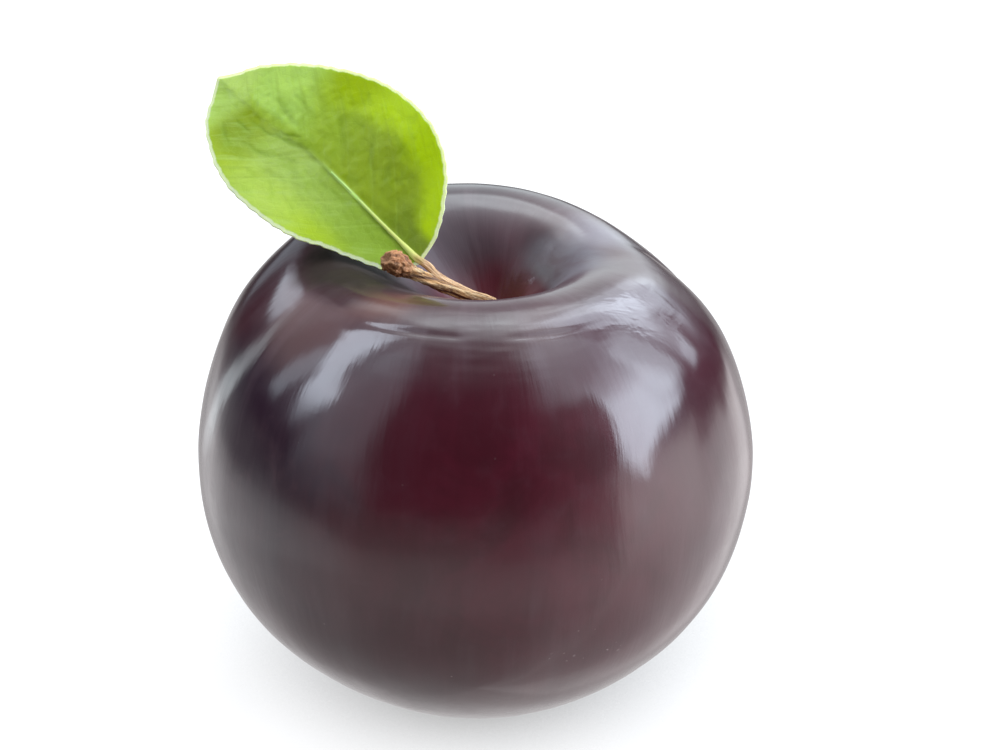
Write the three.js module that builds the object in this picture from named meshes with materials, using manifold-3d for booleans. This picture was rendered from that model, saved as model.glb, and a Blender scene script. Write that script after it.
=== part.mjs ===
// A dark round plum standing on its small flat spot, with its stalk and one green leaf.
// Millimetres, +Z up. The origin is the centre of the bottom of the whole part,
// which is also where the fruit's own axis meets the surface it rests on.
import * as THREE from "three";
import { mergeVertices } from "three/addons/utils/BufferGeometryUtils.js";
import Module from "manifold-3d";

// ---------------------------------------------------------------- dimensions
// Fruit: half section from the floor of the stalk cavity, over the shoulder
// and the waist, down to the edge of the flat spot. [radius, height]
const FRUIT_SECTION = [
  [0.0, 47.6], [2.1, 48.0], [4.4, 49.8], [7.3, 53.1], [10.9, 56.4], [14.9, 58.0],
  [19.0, 57.5], [23.6, 54.5], [28.15, 49.2], [31.05, 42.0], [32.55, 33.4],
  [31.7, 24.6], [28.7, 16.4], [23.3, 9.65], [16.9, 4.55], [11.2, 1.45], [6.5, 0.0],
];
const FLAT_SPOT_RADIUS = 6.5; // the fruit rests on this disc
const SUTURE_AT = 22; // degrees round from +X, where the suture crosses the shoulder
const SUTURE_WIDTH = 38; // degrees, half width of the dip along the suture
const SUTURE_DIP = 2.5; // how far the shoulder dips along the suture
const OPPOSITE_DIP = 0.9; // the same on the far side of the cavity
const SHOULDER_TILT_X = -0.48; // one cheek stands higher than the other
const SHOULDER_TILT_Y = -0.1;
const CAVITY_SHIFT_X = 1.6; // the floor of the cavity lies a little off the axis
const FRUIT_OFFSET = [0.065, -0.26]; // puts the bottom centre of the box on the origin
const FRUIT_RINGS = 40;
const FRUIT_SIDES = 64;

// Stalk: a bent pedicel that ends in a knobbed spur.
const STALK_PATH = [
  [1.8, 0.2, 48.25], [1.85, 0.1, 49.1], [1.55, -0.15, 50.2], [0.71, -0.7, 51.4],
  [-1.0, -1.8, 52.65], [-2.69, -2.9, 53.97], [-4.48, -4.0, 55.33], [-6.14, -5.1, 56.69],
  [-7.46, -6.0, 57.82], [-8.54, -6.8, 58.83], [-9.72, -7.7, 60.02],
];
const STALK_RADII = [
  [0, 0.95], [0.06, 0.72], [0.2, 0.6], [0.6, 0.6], [0.74, 0.68], [0.82, 1.15],
  [0.9, 1.5], [0.96, 1.4], [1, 1.05],
];
const STALK_STEPS = 26;
const STALK_SIDES = 12;

// Leaf: the petiole runs up beside the stalk and goes over into the midrib.
const LEAF_BASE = [-6.52, -3.45, 57.95];
const LEAF_ALONG = [-0.7166, 0.541, 0.4402]; // unit vector along the midrib
const LEAF_ACROSS = [-0.6648, -0.3389, -0.6658]; // unit vector to the lower edge
const LEAF_OUT = [0.0565, -0.911, 0.4075]; // the hollow side of the blade faces this way
// Outlines from the base to the tip: [along, across]
const LEAF_UPPER_EDGE = [
  [-0.6, -0.35], [-0.35, -2.2], [0.29, -4.17], [2.12, -7.06], [4.1, -9.5], [6.84, -11.47],
  [9.85, -12.64], [13.53, -13.0], [16.98, -12.53], [20.57, -11.29], [23.63, -9.7],
  [27.04, -7.38], [30.06, -4.55], [31.7, -2.05], [33.0, -0.5],
];
const LEAF_LOWER_EDGE = [
  [-0.6, 0.35], [0.1, 1.75], [1.24, 2.95], [3.63, 4.05], [6.26, 5.0], [8.88, 5.85],
  [11.99, 7.2], [15.3, 7.98], [18.9, 8.33], [22.34, 8.31], [25.61, 7.5], [28.1, 6.2],
  [30.35, 4.5], [31.85, 1.85], [33.0, -0.15],
];
const LEAF_MIDRIB = [
  [-0.6, 0.0], [6.4, -0.36], [13.8, -0.84], [18.2, -0.95], [22.0, -0.6], [26.0, -0.2],
  [30.0, -0.2], [33.0, -0.32],
];
const BLADE_THICKNESS = 0.5;
const BLADE_STEPS = 24;
const BLADE_CROSS = 5; // strips in each half of the blade
const PETIOLE_PATH = [
  [2.7, 0.85, 51.0], [1.62, 0.25, 52.0], [0.2, -0.6, 53.1], [-1.3, -1.5, 54.3],
  [-2.78, -2.25, 55.47], [-4.2, -2.88, 56.5], [-5.3, -3.3, 57.2], [-6.05, -3.5, 57.65],
];
const PETIOLE_RADIUS = 0.36;
const MIDRIB_REACH = 25; // the raised midrib fades out here, measured from the leaf base

// ------------------------------------------------------------------- helpers
// Cubic spline through points by chord length, with fixed directions at both ends.
function clampedSpline(points, startDir, endDir) {
  const n = points.length;
  const t = [0];
  for (let i = 1; i < n; i++)
    t.push(t[i - 1] + Math.hypot(points[i][0] - points[i - 1][0], points[i][1] - points[i - 1][1]));
  const slopes = [0, 1].map((k) => {
    const a = [], b = [], c = [], d = [];
    a[0] = 0; b[0] = 1; c[0] = 0; d[0] = startDir[k];
    for (let i = 1; i < n - 1; i++) {
      const h0 = t[i] - t[i - 1], h1 = t[i + 1] - t[i];
      a[i] = h1; b[i] = 2 * (h0 + h1); c[i] = h0;
      d[i] = 3 * ((h1 * (points[i][k] - points[i - 1][k])) / h0 + (h0 * (points[i + 1][k] - points[i][k])) / h1);
    }
    a[n - 1] = 0; b[n - 1] = 1; c[n - 1] = 0; d[n - 1] = endDir[k];
    for (let i = 1; i < n; i++) {
      const m = a[i] / b[i - 1];
      b[i] -= m * c[i - 1];
      d[i] -= m * d[i - 1];
    }
    const x = new Array(n);
    x[n - 1] = d[n - 1] / b[n - 1];
    for (let i = n - 2; i >= 0; i--) x[i] = (d[i] - c[i] * x[i + 1]) / b[i];
    return x;
  });
  return (s) => {
    const at = s * t[n - 1];
    let i = 0;
    while (i < n - 2 && at > t[i + 1]) i++;
    const h = t[i + 1] - t[i], u = (at - t[i]) / h;
    const h00 = (1 + 2 * u) * (1 - u) ** 2, h10 = u * (1 - u) ** 2;
    const h01 = u * u * (3 - 2 * u), h11 = u * u * (u - 1);
    return [0, 1].map((k) => h00 * points[i][k] + h10 * h * slopes[k][i] + h01 * points[i + 1][k] + h11 * h * slopes[k][i + 1]);
  };
}
function smooth(x, a, b) {
  const t = Math.min(1, Math.max(0, (x - a) / (b - a)));
  return t * t * t * (t * (6 * t - 15) + 10);
}
function lookup(table, x) {
  let i = 0;
  while (i < table.length - 2 && x > table[i + 1][0]) i++;
  const [x0, y0] = table[i], [x1, y1] = table[i + 1];
  return y0 + ((y1 - y0) * (x - x0)) / (x1 - x0);
}
function meshGeometry(positions, triangles) {
  const g = new THREE.BufferGeometry();
  g.setAttribute("position", new THREE.Float32BufferAttribute(positions, 3));
  g.setIndex(triangles);
  g.computeVertexNormals();
  return g;
}
const curve3 = (pts) =>
  new THREE.CatmullRomCurve3(pts.map((p) => new THREE.Vector3(...p)), false, "centripetal");

// --------------------------------------------------------------------- fruit
// One closed skin: rings of the section turned round the axis, then shaped by
// the suture, the two uneven cheeks and the slightly out of round waist.
function fruitGeometry() {
  const section = clampedSpline(FRUIT_SECTION, [1, 0], [-1, 0]);
  const deg = Math.PI / 180;
  const near = (a, b, width) => {
    const d = THREE.MathUtils.euclideanModulo(a - b + Math.PI, 2 * Math.PI) - Math.PI;
    return Math.exp(-((d / width) ** 2));
  };
  const pos = [], tri = [];
  const point = (s, phi) => {
    let [rho, z] = section(s);
    const shoulder = smooth(s, 0.03, 0.16) * (1 - smooth(s, 0.26, 0.6));
    const waist = Math.exp(-(((s - 0.52) / 0.22) ** 2));
    z += shoulder * (
      -SUTURE_DIP * near(phi, SUTURE_AT * deg, SUTURE_WIDTH * deg)
      - OPPOSITE_DIP * near(phi, SUTURE_AT * deg + Math.PI, SUTURE_WIDTH * deg)
      + SHOULDER_TILT_X * Math.cos(phi) + SHOULDER_TILT_Y * Math.sin(phi));
    rho *= 1 - waist * (0.002 * Math.cos(3 * phi) + 0.008 * Math.sin(3 * phi));
    const shift = CAVITY_SHIFT_X * (1 - smooth(s, 0, 0.2));
    return [rho * Math.cos(phi) + shift + FRUIT_OFFSET[0], rho * Math.sin(phi) + FRUIT_OFFSET[1], z];
  };
  pos.push(...point(0, 0)); // floor of the cavity
  for (let i = 1; i <= FRUIT_RINGS; i++)
    for (let j = 0; j < FRUIT_SIDES; j++) {
      const p = point(i / FRUIT_RINGS, (2 * Math.PI * j) / FRUIT_SIDES);
      if (i === FRUIT_RINGS) p[2] = 0; // edge of the flat spot
      pos.push(...p);
    }
  pos.push(FRUIT_OFFSET[0], FRUIT_OFFSET[1], 0); // middle of the flat spot
  const at = (i, j) => 1 + (i - 1) * FRUIT_SIDES + (j % FRUIT_SIDES);
  const last = 1 + FRUIT_RINGS * FRUIT_SIDES;
  for (let j = 0; j < FRUIT_SIDES; j++) {
    tri.push(0, at(1, j), at(1, j + 1));
    for (let i = 1; i < FRUIT_RINGS; i++) {
      tri.push(at(i, j), at(i + 1, j), at(i + 1, j + 1));
      tri.push(at(i, j), at(i + 1, j + 1), at(i, j + 1));
    }
    tri.push(last, at(FRUIT_RINGS, j + 1), at(FRUIT_RINGS, j));
  }
  return meshGeometry(pos, tri);
}

// A round section of changing radius swept along a curve, closed at both ends.
function sweptGeometry(curve, radiusAt, steps, sides) {
  const frames = curve.computeFrenetFrames(steps, false);
  const pos = [], tri = [];
  for (let i = 0; i <= steps; i++) {
    const c = curve.getPointAt(i / steps), r = radiusAt(i / steps);
    for (let j = 0; j < sides; j++) {
      const a = (2 * Math.PI * j) / sides;
      const v = c.clone()
        .addScaledVector(frames.normals[i], r * Math.cos(a))
        .addScaledVector(frames.binormals[i], r * Math.sin(a));
      pos.push(v.x, v.y, v.z);
    }
  }
  const first = curve.getPointAt(0), end = curve.getPointAt(1);
  pos.push(first.x, first.y, first.z, end.x, end.y, end.z);
  const a0 = (steps + 1) * sides, a1 = a0 + 1;
  for (let j = 0; j < sides; j++) {
    const k = (j + 1) % sides;
    tri.push(a0, k, j);
    for (let i = 0; i < steps; i++) {
      const p = i * sides + j, q = i * sides + k;
      tri.push(p, q, q + sides, p, q + sides, p + sides);
    }
    tri.push(a1, steps * sides + j, steps * sides + k);
  }
  return meshGeometry(pos, tri);
}

// ---------------------------------------------------------------------- leaf
const leafPoint = (u, w, c) =>
  new THREE.Vector3(...LEAF_BASE)
    .addScaledVector(new THREE.Vector3(...LEAF_ALONG), u)
    .addScaledVector(new THREE.Vector3(...LEAF_ACROSS), w)
    .addScaledVector(new THREE.Vector3(...LEAF_OUT), c);
// Height of the blade over its flat: hollow along the midrib, tip bent back.
function bladeRise(u, x) {
  const fold = x > 0 ? (0.62 * x * x) / (x + 2) : (0.16 * x * x) / (3 - x);
  const arch = -0.0042 * Math.max(0, u - 6) ** 2;
  const wave = 0.25 * Math.sin(0.5 * u + (x > 0 ? 1.0 : 2.6)) * Math.min(1, Math.abs(x) / 9) ** 2;
  return fold + arch + wave;
}
const flat = (pts) => curve3(pts.map(([a, b]) => [a, b, 0]));
const upperEdge = flat(LEAF_UPPER_EDGE), lowerEdge = flat(LEAF_LOWER_EDGE), midrib = flat(LEAF_MIDRIB);
function bladePoint(a, b) {
  const m = midrib.getPointAt(a), e = (b < 0 ? upperEdge : lowerEdge).getPointAt(a);
  const u = m.x + (e.x - m.x) * Math.abs(b), w = m.y + (e.y - m.y) * Math.abs(b);
  return leafPoint(u, w, bladeRise(u, w - m.y));
}
function bladeGeometry() {
  const nb = 2 * BLADE_CROSS, row = nb + 1, layer = (BLADE_STEPS + 1) * row;
  const top = [], bottom = [], tri = [];
  for (let i = 0; i <= BLADE_STEPS; i++)
    for (let j = 0; j <= nb; j++) {
      const a = i / BLADE_STEPS, b = j / BLADE_CROSS - 1, e = 1e-3;
      const p = bladePoint(a, b);
      const da = bladePoint(Math.min(1, a + e), b).sub(bladePoint(Math.max(0, a - e), b));
      const db = bladePoint(a, Math.min(1, b + e)).sub(bladePoint(a, Math.max(-1, b - e)));
      const n = new THREE.Vector3().crossVectors(db, da).normalize();
      const up = p.clone().addScaledVector(n, BLADE_THICKNESS / 2);
      const dn = p.clone().addScaledVector(n, -BLADE_THICKNESS / 2);
      top.push(up.x, up.y, up.z);
      bottom.push(dn.x, dn.y, dn.z);
    }
  const quad = (a, b, c, d) => tri.push(a, b, c, a, c, d);
  for (let i = 0; i < BLADE_STEPS; i++)
    for (let j = 0; j < nb; j++) {
      const p = i * row + j;
      quad(p, p + 1, p + row + 1, p + row);
      quad(layer + p, layer + p + row, layer + p + row + 1, layer + p + 1);
    }
  for (let i = 0; i < BLADE_STEPS; i++) {
    const l = i * row, r = l + nb;
    quad(l, l + row, layer + l + row, layer + l);
    quad(r, layer + r, layer + r + row, r + row);
  }
  for (let j = 0; j < nb; j++) {
    const s = j, e = BLADE_STEPS * row + j;
    quad(s, layer + s, layer + s + 1, s + 1);
    quad(e, e + 1, layer + e + 1, layer + e);
  }
  return meshGeometry([...top, ...bottom], tri);
}
function ribGeometry() {
  const pts = PETIOLE_PATH.map((p) => new THREE.Vector3(...p));
  const total = midrib.getLength();
  for (const u of [1, 4, 8, 13, 19, MIDRIB_REACH]) pts.push(bladePoint(u / total, 0));
  const curve = new THREE.CatmullRomCurve3(pts, false, "centripetal");
  return sweptGeometry(curve, (t) => PETIOLE_RADIUS * (1 - 0.62 * smooth(t, 0.4, 1)), 34, 8);
}

// Joins two closed bodies into one.
const wasm = await Module();
wasm.setup();
function solid(geometry) {
  const g = geometry.clone();
  g.deleteAttribute("normal");
  const m = mergeVertices(g, 1e-4);
  return new wasm.Manifold(new wasm.Mesh({
    numProp: 3,
    vertProperties: new Float32Array(m.attributes.position.array),
    triVerts: new Uint32Array(m.index.array),
  }));
}
function join(a, b) {
  const out = solid(a).add(solid(b)).getMesh();
  return meshGeometry(Array.from(out.vertProperties), Array.from(out.triVerts));
}

// --------------------------------------------------------------------- build
const plum = new THREE.Group();
function add(name, geometry, material) {
  const mesh = new THREE.Mesh(geometry, material);
  mesh.name = name;
  plum.add(mesh);
}
add("plum_fruit", fruitGeometry(),
  new THREE.MeshStandardMaterial({ color: 0x2b141a, roughness: 0.25, metalness: 0 }));
add("stalk",
  sweptGeometry(curve3(STALK_PATH), (t) => lookup(STALK_RADII, t), STALK_STEPS, STALK_SIDES),
  new THREE.MeshStandardMaterial({ color: 0x9a6334, roughness: 0.8, metalness: 0 }));
add("leaf", join(bladeGeometry(), ribGeometry()),
  new THREE.MeshStandardMaterial({ color: 0x93b83a, roughness: 0.5, metalness: 0 }));

export default plum;
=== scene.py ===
# A dark dessert plum with its stalk and one leaf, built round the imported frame.
import math
import bpy
import numpy as np
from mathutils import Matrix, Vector


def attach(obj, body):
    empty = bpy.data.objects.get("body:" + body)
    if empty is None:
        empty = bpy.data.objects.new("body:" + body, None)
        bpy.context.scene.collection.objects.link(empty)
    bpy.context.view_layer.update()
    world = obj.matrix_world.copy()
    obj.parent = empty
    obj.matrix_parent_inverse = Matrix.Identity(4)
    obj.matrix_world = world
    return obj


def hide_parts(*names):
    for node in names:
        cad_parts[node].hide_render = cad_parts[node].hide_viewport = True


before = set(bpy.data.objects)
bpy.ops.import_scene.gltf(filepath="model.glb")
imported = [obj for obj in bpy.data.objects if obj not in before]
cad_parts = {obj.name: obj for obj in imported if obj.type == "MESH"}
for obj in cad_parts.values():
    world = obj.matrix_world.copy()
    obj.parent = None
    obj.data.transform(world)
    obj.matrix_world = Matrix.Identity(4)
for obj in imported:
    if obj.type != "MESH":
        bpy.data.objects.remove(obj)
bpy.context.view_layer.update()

MM = 0.001

# =====================================================================
# shared shape of the fruit and the leaf (millimetres, as in the CAD)
# =====================================================================
SECTION = np.array([
    [0.0, 47.6], [2.1, 48.0], [4.4, 49.8], [7.3, 53.1], [10.9, 56.4], [14.9, 58.0],
    [19.0, 57.5], [23.6, 54.5], [28.15, 49.2], [31.05, 42.0], [32.55, 33.4],
    [31.7, 24.6], [28.7, 16.4], [23.3, 9.65], [16.9, 4.55], [11.2, 1.45], [6.5, 0.0]])
SUTURE_AT, SUTURE_WIDTH, SUTURE_DIP, OPPOSITE_DIP = 22.0, 38.0, 2.5, 0.9
TILT_X, TILT_Y, CAVITY_SHIFT = -0.48, -0.1, 1.6
OFFSET = (0.065, -0.26)

STALK_PATH = np.array([
    [1.8, 0.2, 48.25], [1.85, 0.1, 49.1], [1.55, -0.15, 50.2], [0.71, -0.7, 51.4],
    [-1.0, -1.8, 52.65], [-2.69, -2.9, 53.97], [-4.48, -4.0, 55.33], [-6.14, -5.1, 56.69],
    [-7.46, -6.0, 57.82], [-8.54, -6.8, 58.83], [-9.72, -7.7, 60.02]])

LEAF_BASE = np.array([-6.52, -3.45, 57.95])
LEAF_ALONG = np.array([-0.7166, 0.541, 0.4402])
LEAF_ACROSS = np.array([-0.6648, -0.3389, -0.6658])
LEAF_OUT = np.array([0.0565, -0.911, 0.4075])
UPPER_EDGE = np.array([
    [-0.6, -0.35], [-0.35, -2.2], [0.29, -4.17], [2.12, -7.06], [4.1, -9.5], [6.84, -11.47],
    [9.85, -12.64], [13.53, -13.0], [16.98, -12.53], [20.57, -11.29], [23.63, -9.7],
    [27.04, -7.38], [30.06, -4.55], [31.7, -2.05], [33.0, -0.5]])
LOWER_EDGE = np.array([
    [-0.6, 0.35], [0.1, 1.75], [1.24, 2.95], [3.63, 4.05], [6.26, 5.0], [8.88, 5.85],
    [11.99, 7.2], [15.3, 7.98], [18.9, 8.33], [22.34, 8.31], [25.61, 7.5], [28.1, 6.2],
    [30.35, 4.5], [31.85, 1.85], [33.0, -0.15]])
MIDRIB = np.array([
    [-0.6, 0.0], [6.4, -0.36], [13.8, -0.84], [18.2, -0.95], [22.0, -0.6], [26.0, -0.2],
    [30.0, -0.2], [33.0, -0.32]])
PETIOLE_PATH = np.array([
    [2.7, 0.85, 51.0], [1.62, 0.25, 52.0], [0.2, -0.6, 53.1], [-1.3, -1.5, 54.3],
    [-2.78, -2.25, 55.47], [-4.2, -2.88, 56.5], [-5.3, -3.3, 57.2], [-6.05, -3.5, 57.65]])


def smooth(x, a, b):
    t = np.clip((x - a) / (b - a), 0.0, 1.0)
    return t * t * t * (t * (6 * t - 15) + 10)


def bell(x, width):
    return np.exp(-((x / width) ** 2))


def wrap(a):
    return (a + np.pi) % (2 * np.pi) - np.pi


def clamped_spline(pts, d0, d1, s):
    """Cubic spline by chord length with fixed end directions, sampled at s in 0..1."""
    pts = np.asarray(pts, float)
    n = len(pts)
    t = np.r_[0, np.cumsum(np.linalg.norm(np.diff(pts, axis=0), axis=1))]
    A = np.zeros((n, n))
    B = np.zeros((n, pts.shape[1]))
    A[0, 0] = A[-1, -1] = 1
    B[0], B[-1] = d0, d1
    for i in range(1, n - 1):
        h0, h1 = t[i] - t[i - 1], t[i + 1] - t[i]
        A[i, i - 1], A[i, i], A[i, i + 1] = h1, 2 * (h0 + h1), h0
        B[i] = 3 * (h1 * (pts[i] - pts[i - 1]) / h0 + h0 * (pts[i + 1] - pts[i]) / h1)
    M = np.linalg.solve(A, B)
    at = np.asarray(s) * t[-1]
    i = np.clip(np.searchsorted(t, at, side="right") - 1, 0, n - 2)
    h = (t[i + 1] - t[i])
    u = ((at - t[i]) / h)[:, None]
    h = h[:, None]
    return ((1 + 2 * u) * (1 - u) ** 2 * pts[i] + u * (1 - u) ** 2 * h * M[i]
            + u * u * (3 - 2 * u) * pts[i + 1] + u * u * (u - 1) * h * M[i + 1])


def centripetal(pts, n):
    """Points at equal arc length along a centripetal Catmull-Rom curve."""
    P = np.asarray(pts, float)
    P = np.vstack([2 * P[0] - P[1], P, 2 * P[-1] - P[-2]])
    out = []
    for i in range(1, len(P) - 2):
        p0, p1, p2, p3 = P[i - 1:i + 3]
        k = [max(1e-4, np.linalg.norm(b - a) ** 0.5) for a, b in ((p0, p1), (p1, p2), (p2, p3))]
        m1 = k[1] * ((p1 - p0) / k[0] - (p2 - p0) / (k[0] + k[1]) + (p2 - p1) / k[1])
        m2 = k[1] * ((p2 - p1) / k[1] - (p3 - p1) / (k[1] + k[2]) + (p3 - p2) / k[2])
        u = np.linspace(0, 1, 40, endpoint=False)[:, None]
        out.append((2 * u ** 3 - 3 * u ** 2 + 1) * p1 + (u ** 3 - 2 * u ** 2 + u) * m1
                   + (-2 * u ** 3 + 3 * u ** 2) * p2 + (u ** 3 - u ** 2) * m2)
    Q = np.vstack(out + [P[-2][None]])
    d = np.r_[0, np.cumsum(np.linalg.norm(np.diff(Q, axis=0), axis=1))]
    at = np.linspace(0, d[-1], n)
    return np.stack([np.interp(at, d, Q[:, k]) for k in range(Q.shape[1])], 1)


# ------------------------------------------------------------- noise fields
_GRAD = np.array([[1, 1, 0], [-1, 1, 0], [1, -1, 0], [-1, -1, 0], [1, 0, 1], [-1, 0, 1],
                  [1, 0, -1], [-1, 0, -1], [0, 1, 1], [0, -1, 1], [0, 1, -1], [0, -1, -1]], float)


def _hash(i, j, k, seed):
    h = (i * 374761393 + j * 668265263 + k * 2147483647 + seed * 974634777) & 0xFFFFFFFF
    h = ((h ^ (h >> 13)) * 1274126177) & 0xFFFFFFFF
    return (h ^ (h >> 16)) & 0xFFFFFFFF


def perlin(P, seed=0):
    P = np.asarray(P, float)
    f = np.floor(P)
    i = f.astype(np.int64)
    r = P - f
    w = r * r * r * (r * (r * 6 - 15) + 10)
    out = 0.0
    for dx in (0, 1):
        for dy in (0, 1):
            for dz in (0, 1):
                g = _GRAD[_hash(i[..., 0] + dx, i[..., 1] + dy, i[..., 2] + dz, seed) % 12]
                d = np.stack([r[..., 0] - dx, r[..., 1] - dy, r[..., 2] - dz], -1)
                ww = ((w[..., 0] if dx else 1 - w[..., 0]) * (w[..., 1] if dy else 1 - w[..., 1])
                      * (w[..., 2] if dz else 1 - w[..., 2]))
                out = out + ww * (g * d).sum(-1)
    return out


def fbm(P, octaves=4, seed=0, gain=0.5):
    a, s, out = 1.0, 1.0, 0.0
    for o in range(octaves):
        out = out + a * perlin(np.asarray(P) * s + 17.3 * o, seed + o)
        a *= gain
        s *= 2.03
    return out


# ------------------------------------------------------------- mesh helpers
def normals_of(G, wrap_j):
    du = np.gradient(G, axis=0)
    dv = (np.roll(G, -1, 1) - np.roll(G, 1, 1)) / 2 if wrap_j else np.gradient(G, axis=1)
    N = np.cross(dv, du)
    return N / (np.linalg.norm(N, axis=-1, keepdims=True) + 1e-12)


def make_object(name, verts_mm, faces, uvs=None, attrs=None, smooth_shade=True):
    me = bpy.data.meshes.new(name)
    me.from_pydata((np.asarray(verts_mm) * MM).tolist(), [], faces)
    if uvs is not None:
        layer = me.uv_layers.new(name="OFBake")
        loops = np.zeros(len(me.loops), np.int64)
        me.loops.foreach_get("vertex_index", loops)
        if callable(uvs):
            layer.data.foreach_set("uv", uvs(me, loops).astype(np.float32).ravel())
        else:
            layer.data.foreach_set("uv", np.asarray(uvs, np.float32)[loops].ravel())
    for key, val in (attrs or {}).items():
        val = np.asarray(val, np.float32)
        if val.ndim == 1:
            a = me.attributes.new(key, "FLOAT", "POINT")
            a.data.foreach_set("value", val)
        else:
            a = me.attributes.new(key, "FLOAT_VECTOR", "POINT")
            a.data.foreach_set("vector", val.ravel())
    me.update()
    me.validate()
    if smooth_shade:
        me.polygons.foreach_set("use_smooth", [True] * len(me.polygons))
    ob = bpy.data.objects.new(name, me)
    bpy.context.scene.collection.objects.link(ob)
    return ob


# ------------------------------------------------------------ node helpers
class Nodes:
    def __init__(self, tree):
        self.t = tree
        self.t.nodes.clear()

    def new(self, kind, **props):
        n = self.t.nodes.new(kind)
        inputs = props.pop("inputs", {})
        for k, v in props.items():
            setattr(n, k, v)
        for k, v in inputs.items():
            self.set(n, k, v)
        return n

    def set(self, n, k, v):
        s = n.inputs[k]
        if isinstance(v, bpy.types.NodeSocket):
            self.t.links.new(v, s)
        elif hasattr(s.default_value, "__len__") and not isinstance(v, str):
            v = tuple(v)
            if len(v) == 3 and len(s.default_value) == 4:
                v = v + (1.0,)
            s.default_value = v
        else:
            s.default_value = v

    def math(self, op, a, b=0.0, c=None, clamp=False):
        n = self.new("ShaderNodeMath", operation=op, use_clamp=clamp)
        self.set(n, 0, a)
        self.set(n, 1, b)
        if c is not None:
            self.set(n, 2, c)
        return n.outputs[0]

    def mix(self, fac, a, b, blend="MIX"):
        n = self.new("ShaderNodeMix", data_type="RGBA", blend_type=blend, clamp_factor=True)
        self.set(n, 0, fac)
        self.set(n, 6, a)
        self.set(n, 7, b)
        return n.outputs[2]

    def mixf(self, fac, a, b):
        n = self.new("ShaderNodeMix", data_type="FLOAT", clamp_factor=True)
        self.set(n, 0, fac)
        self.set(n, 2, a)
        self.set(n, 3, b)
        return n.outputs[0]

    def ramp(self, fac, lo, hi, smooth_step=True):
        n = self.new("ShaderNodeMapRange", interpolation_type="SMOOTHSTEP" if smooth_step else "LINEAR", clamp=True) \
            if smooth_step else self.new("ShaderNodeMapRange", clamp=True)
        self.set(n, "Value", fac)
        self.set(n, "From Min", lo)
        self.set(n, "From Max", hi)
        return n.outputs[0]

    def noise(self, vec, scale, detail=2.0, rough=0.5, distortion=0.0, dim="3D"):
        n = self.new("ShaderNodeTexNoise", noise_dimensions=dim)
        self.set(n, "Vector", vec)
        self.set(n, "Scale", scale)
        self.set(n, "Detail", detail)
        self.set(n, "Roughness", rough)
        self.set(n, "Distortion", distortion)
        return n.outputs["Fac"]

    def attr(self, name, vector=False):
        n = self.new("ShaderNodeAttribute", attribute_name=name, attribute_type="GEOMETRY")
        return n.outputs["Vector" if vector else "Fac"]

    def scale(self, vec, s):
        n = self.new("ShaderNodeVectorMath", operation="MULTIPLY")
        self.set(n, 0, vec)
        self.set(n, 1, s)
        return n.outputs[0]

    def bump(self, height, strength, distance, normal=None):
        n = self.new("ShaderNodeBump")
        self.set(n, "Height", height)
        self.set(n, "Strength", strength)
        self.set(n, "Distance", distance)
        if normal is not None:
            self.set(n, "Normal", normal)
        return n.outputs[0]


def material(name):
    m = bpy.data.materials.new(name)
    m.use_nodes = True
    return m, Nodes(m.node_tree)


# =====================================================================
# fruit
# =====================================================================
def fruit_points(s, phi):
    """(rings, sectors, 3) of the smooth fruit in millimetres."""
    Q = clamped_spline(SECTION, (1, 0), (-1, 0), s)
    rho = Q[:, :1] * np.ones(len(phi))
    z = Q[:, 1:] * np.ones(len(phi))
    S = s[:, None]
    sh = smooth(S, 0.03, 0.16) * (1 - smooth(S, 0.26, 0.6))
    a = math.radians(SUTURE_AT)
    w = math.radians(SUTURE_WIDTH)
    z = z + sh * (-SUTURE_DIP * bell(wrap(phi - a), w) - OPPOSITE_DIP * bell(wrap(phi - a - np.pi), w)
                  + TILT_X * np.cos(phi) + TILT_Y * np.sin(phi))
    rho = rho * (1 - bell(S - 0.52, 0.22) * (0.002 * np.cos(3 * phi) + 0.008 * np.sin(3 * phi)))
    shift = CAVITY_SHIFT * (1 - smooth(S, 0, 0.2))
    return np.stack([rho * np.cos(phi) + shift + OFFSET[0], rho * np.sin(phi) + OFFSET[1], z], -1)


# rings lie closer together over the cavity and the shoulder
NR, NS = 246, 360
_t = np.linspace(0, 1, NR + 1)[1:]
s_ring = np.interp(_t, [0, 0.16, 0.52, 1.0], [0, 0.105, 0.36, 1.0])
s_ring = np.convolve(np.r_[np.repeat(0.0, 6), s_ring, 1 + np.arange(1, 7) * (s_ring[-1] - s_ring[-2])],
                     np.ones(13) / 13, "valid")
s_ring = np.clip(s_ring, 0.0015, 1.0)
s_ring[-1] = 1.0
phi_s = np.arange(NS) * 2 * np.pi / NS
G = fruit_points(s_ring, phi_s)
N = normals_of(G, True)
if np.median((N * (G - np.array([0, 0, 30.0]))).sum(-1)) < 0:
    N = -N
S2 = s_ring[:, None] * np.ones(NS)
PH = phi_s[None, :] * np.ones((NR, 1))
rho = np.hypot(G[..., 0] - OFFSET[0], G[..., 1] - OFFSET[1])
foot = 1 - smooth(S2, 0.90, 0.985)            # 0 on the flat spot
A = math.radians(SUTURE_AT)


def polar(turns, down):
    """Noise coordinates: features per turn round the axis and per length down the skin."""
    return np.stack([np.cos(PH) * turns, np.sin(PH) * turns, S2 * down], -1)


disp = np.zeros_like(S2)
# slow waviness of a grown surface
disp += 0.20 * fbm(G / 21.0, 2, seed=3) * foot
disp += 0.055 * fbm(G / 8.0, 2, seed=11) * foot
# shallow flutes that run down the sides
disp += 0.030 * fbm(polar(7.0, 1.8), 2, seed=15) * smooth(S2, 0.28, 0.42) * foot
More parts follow.
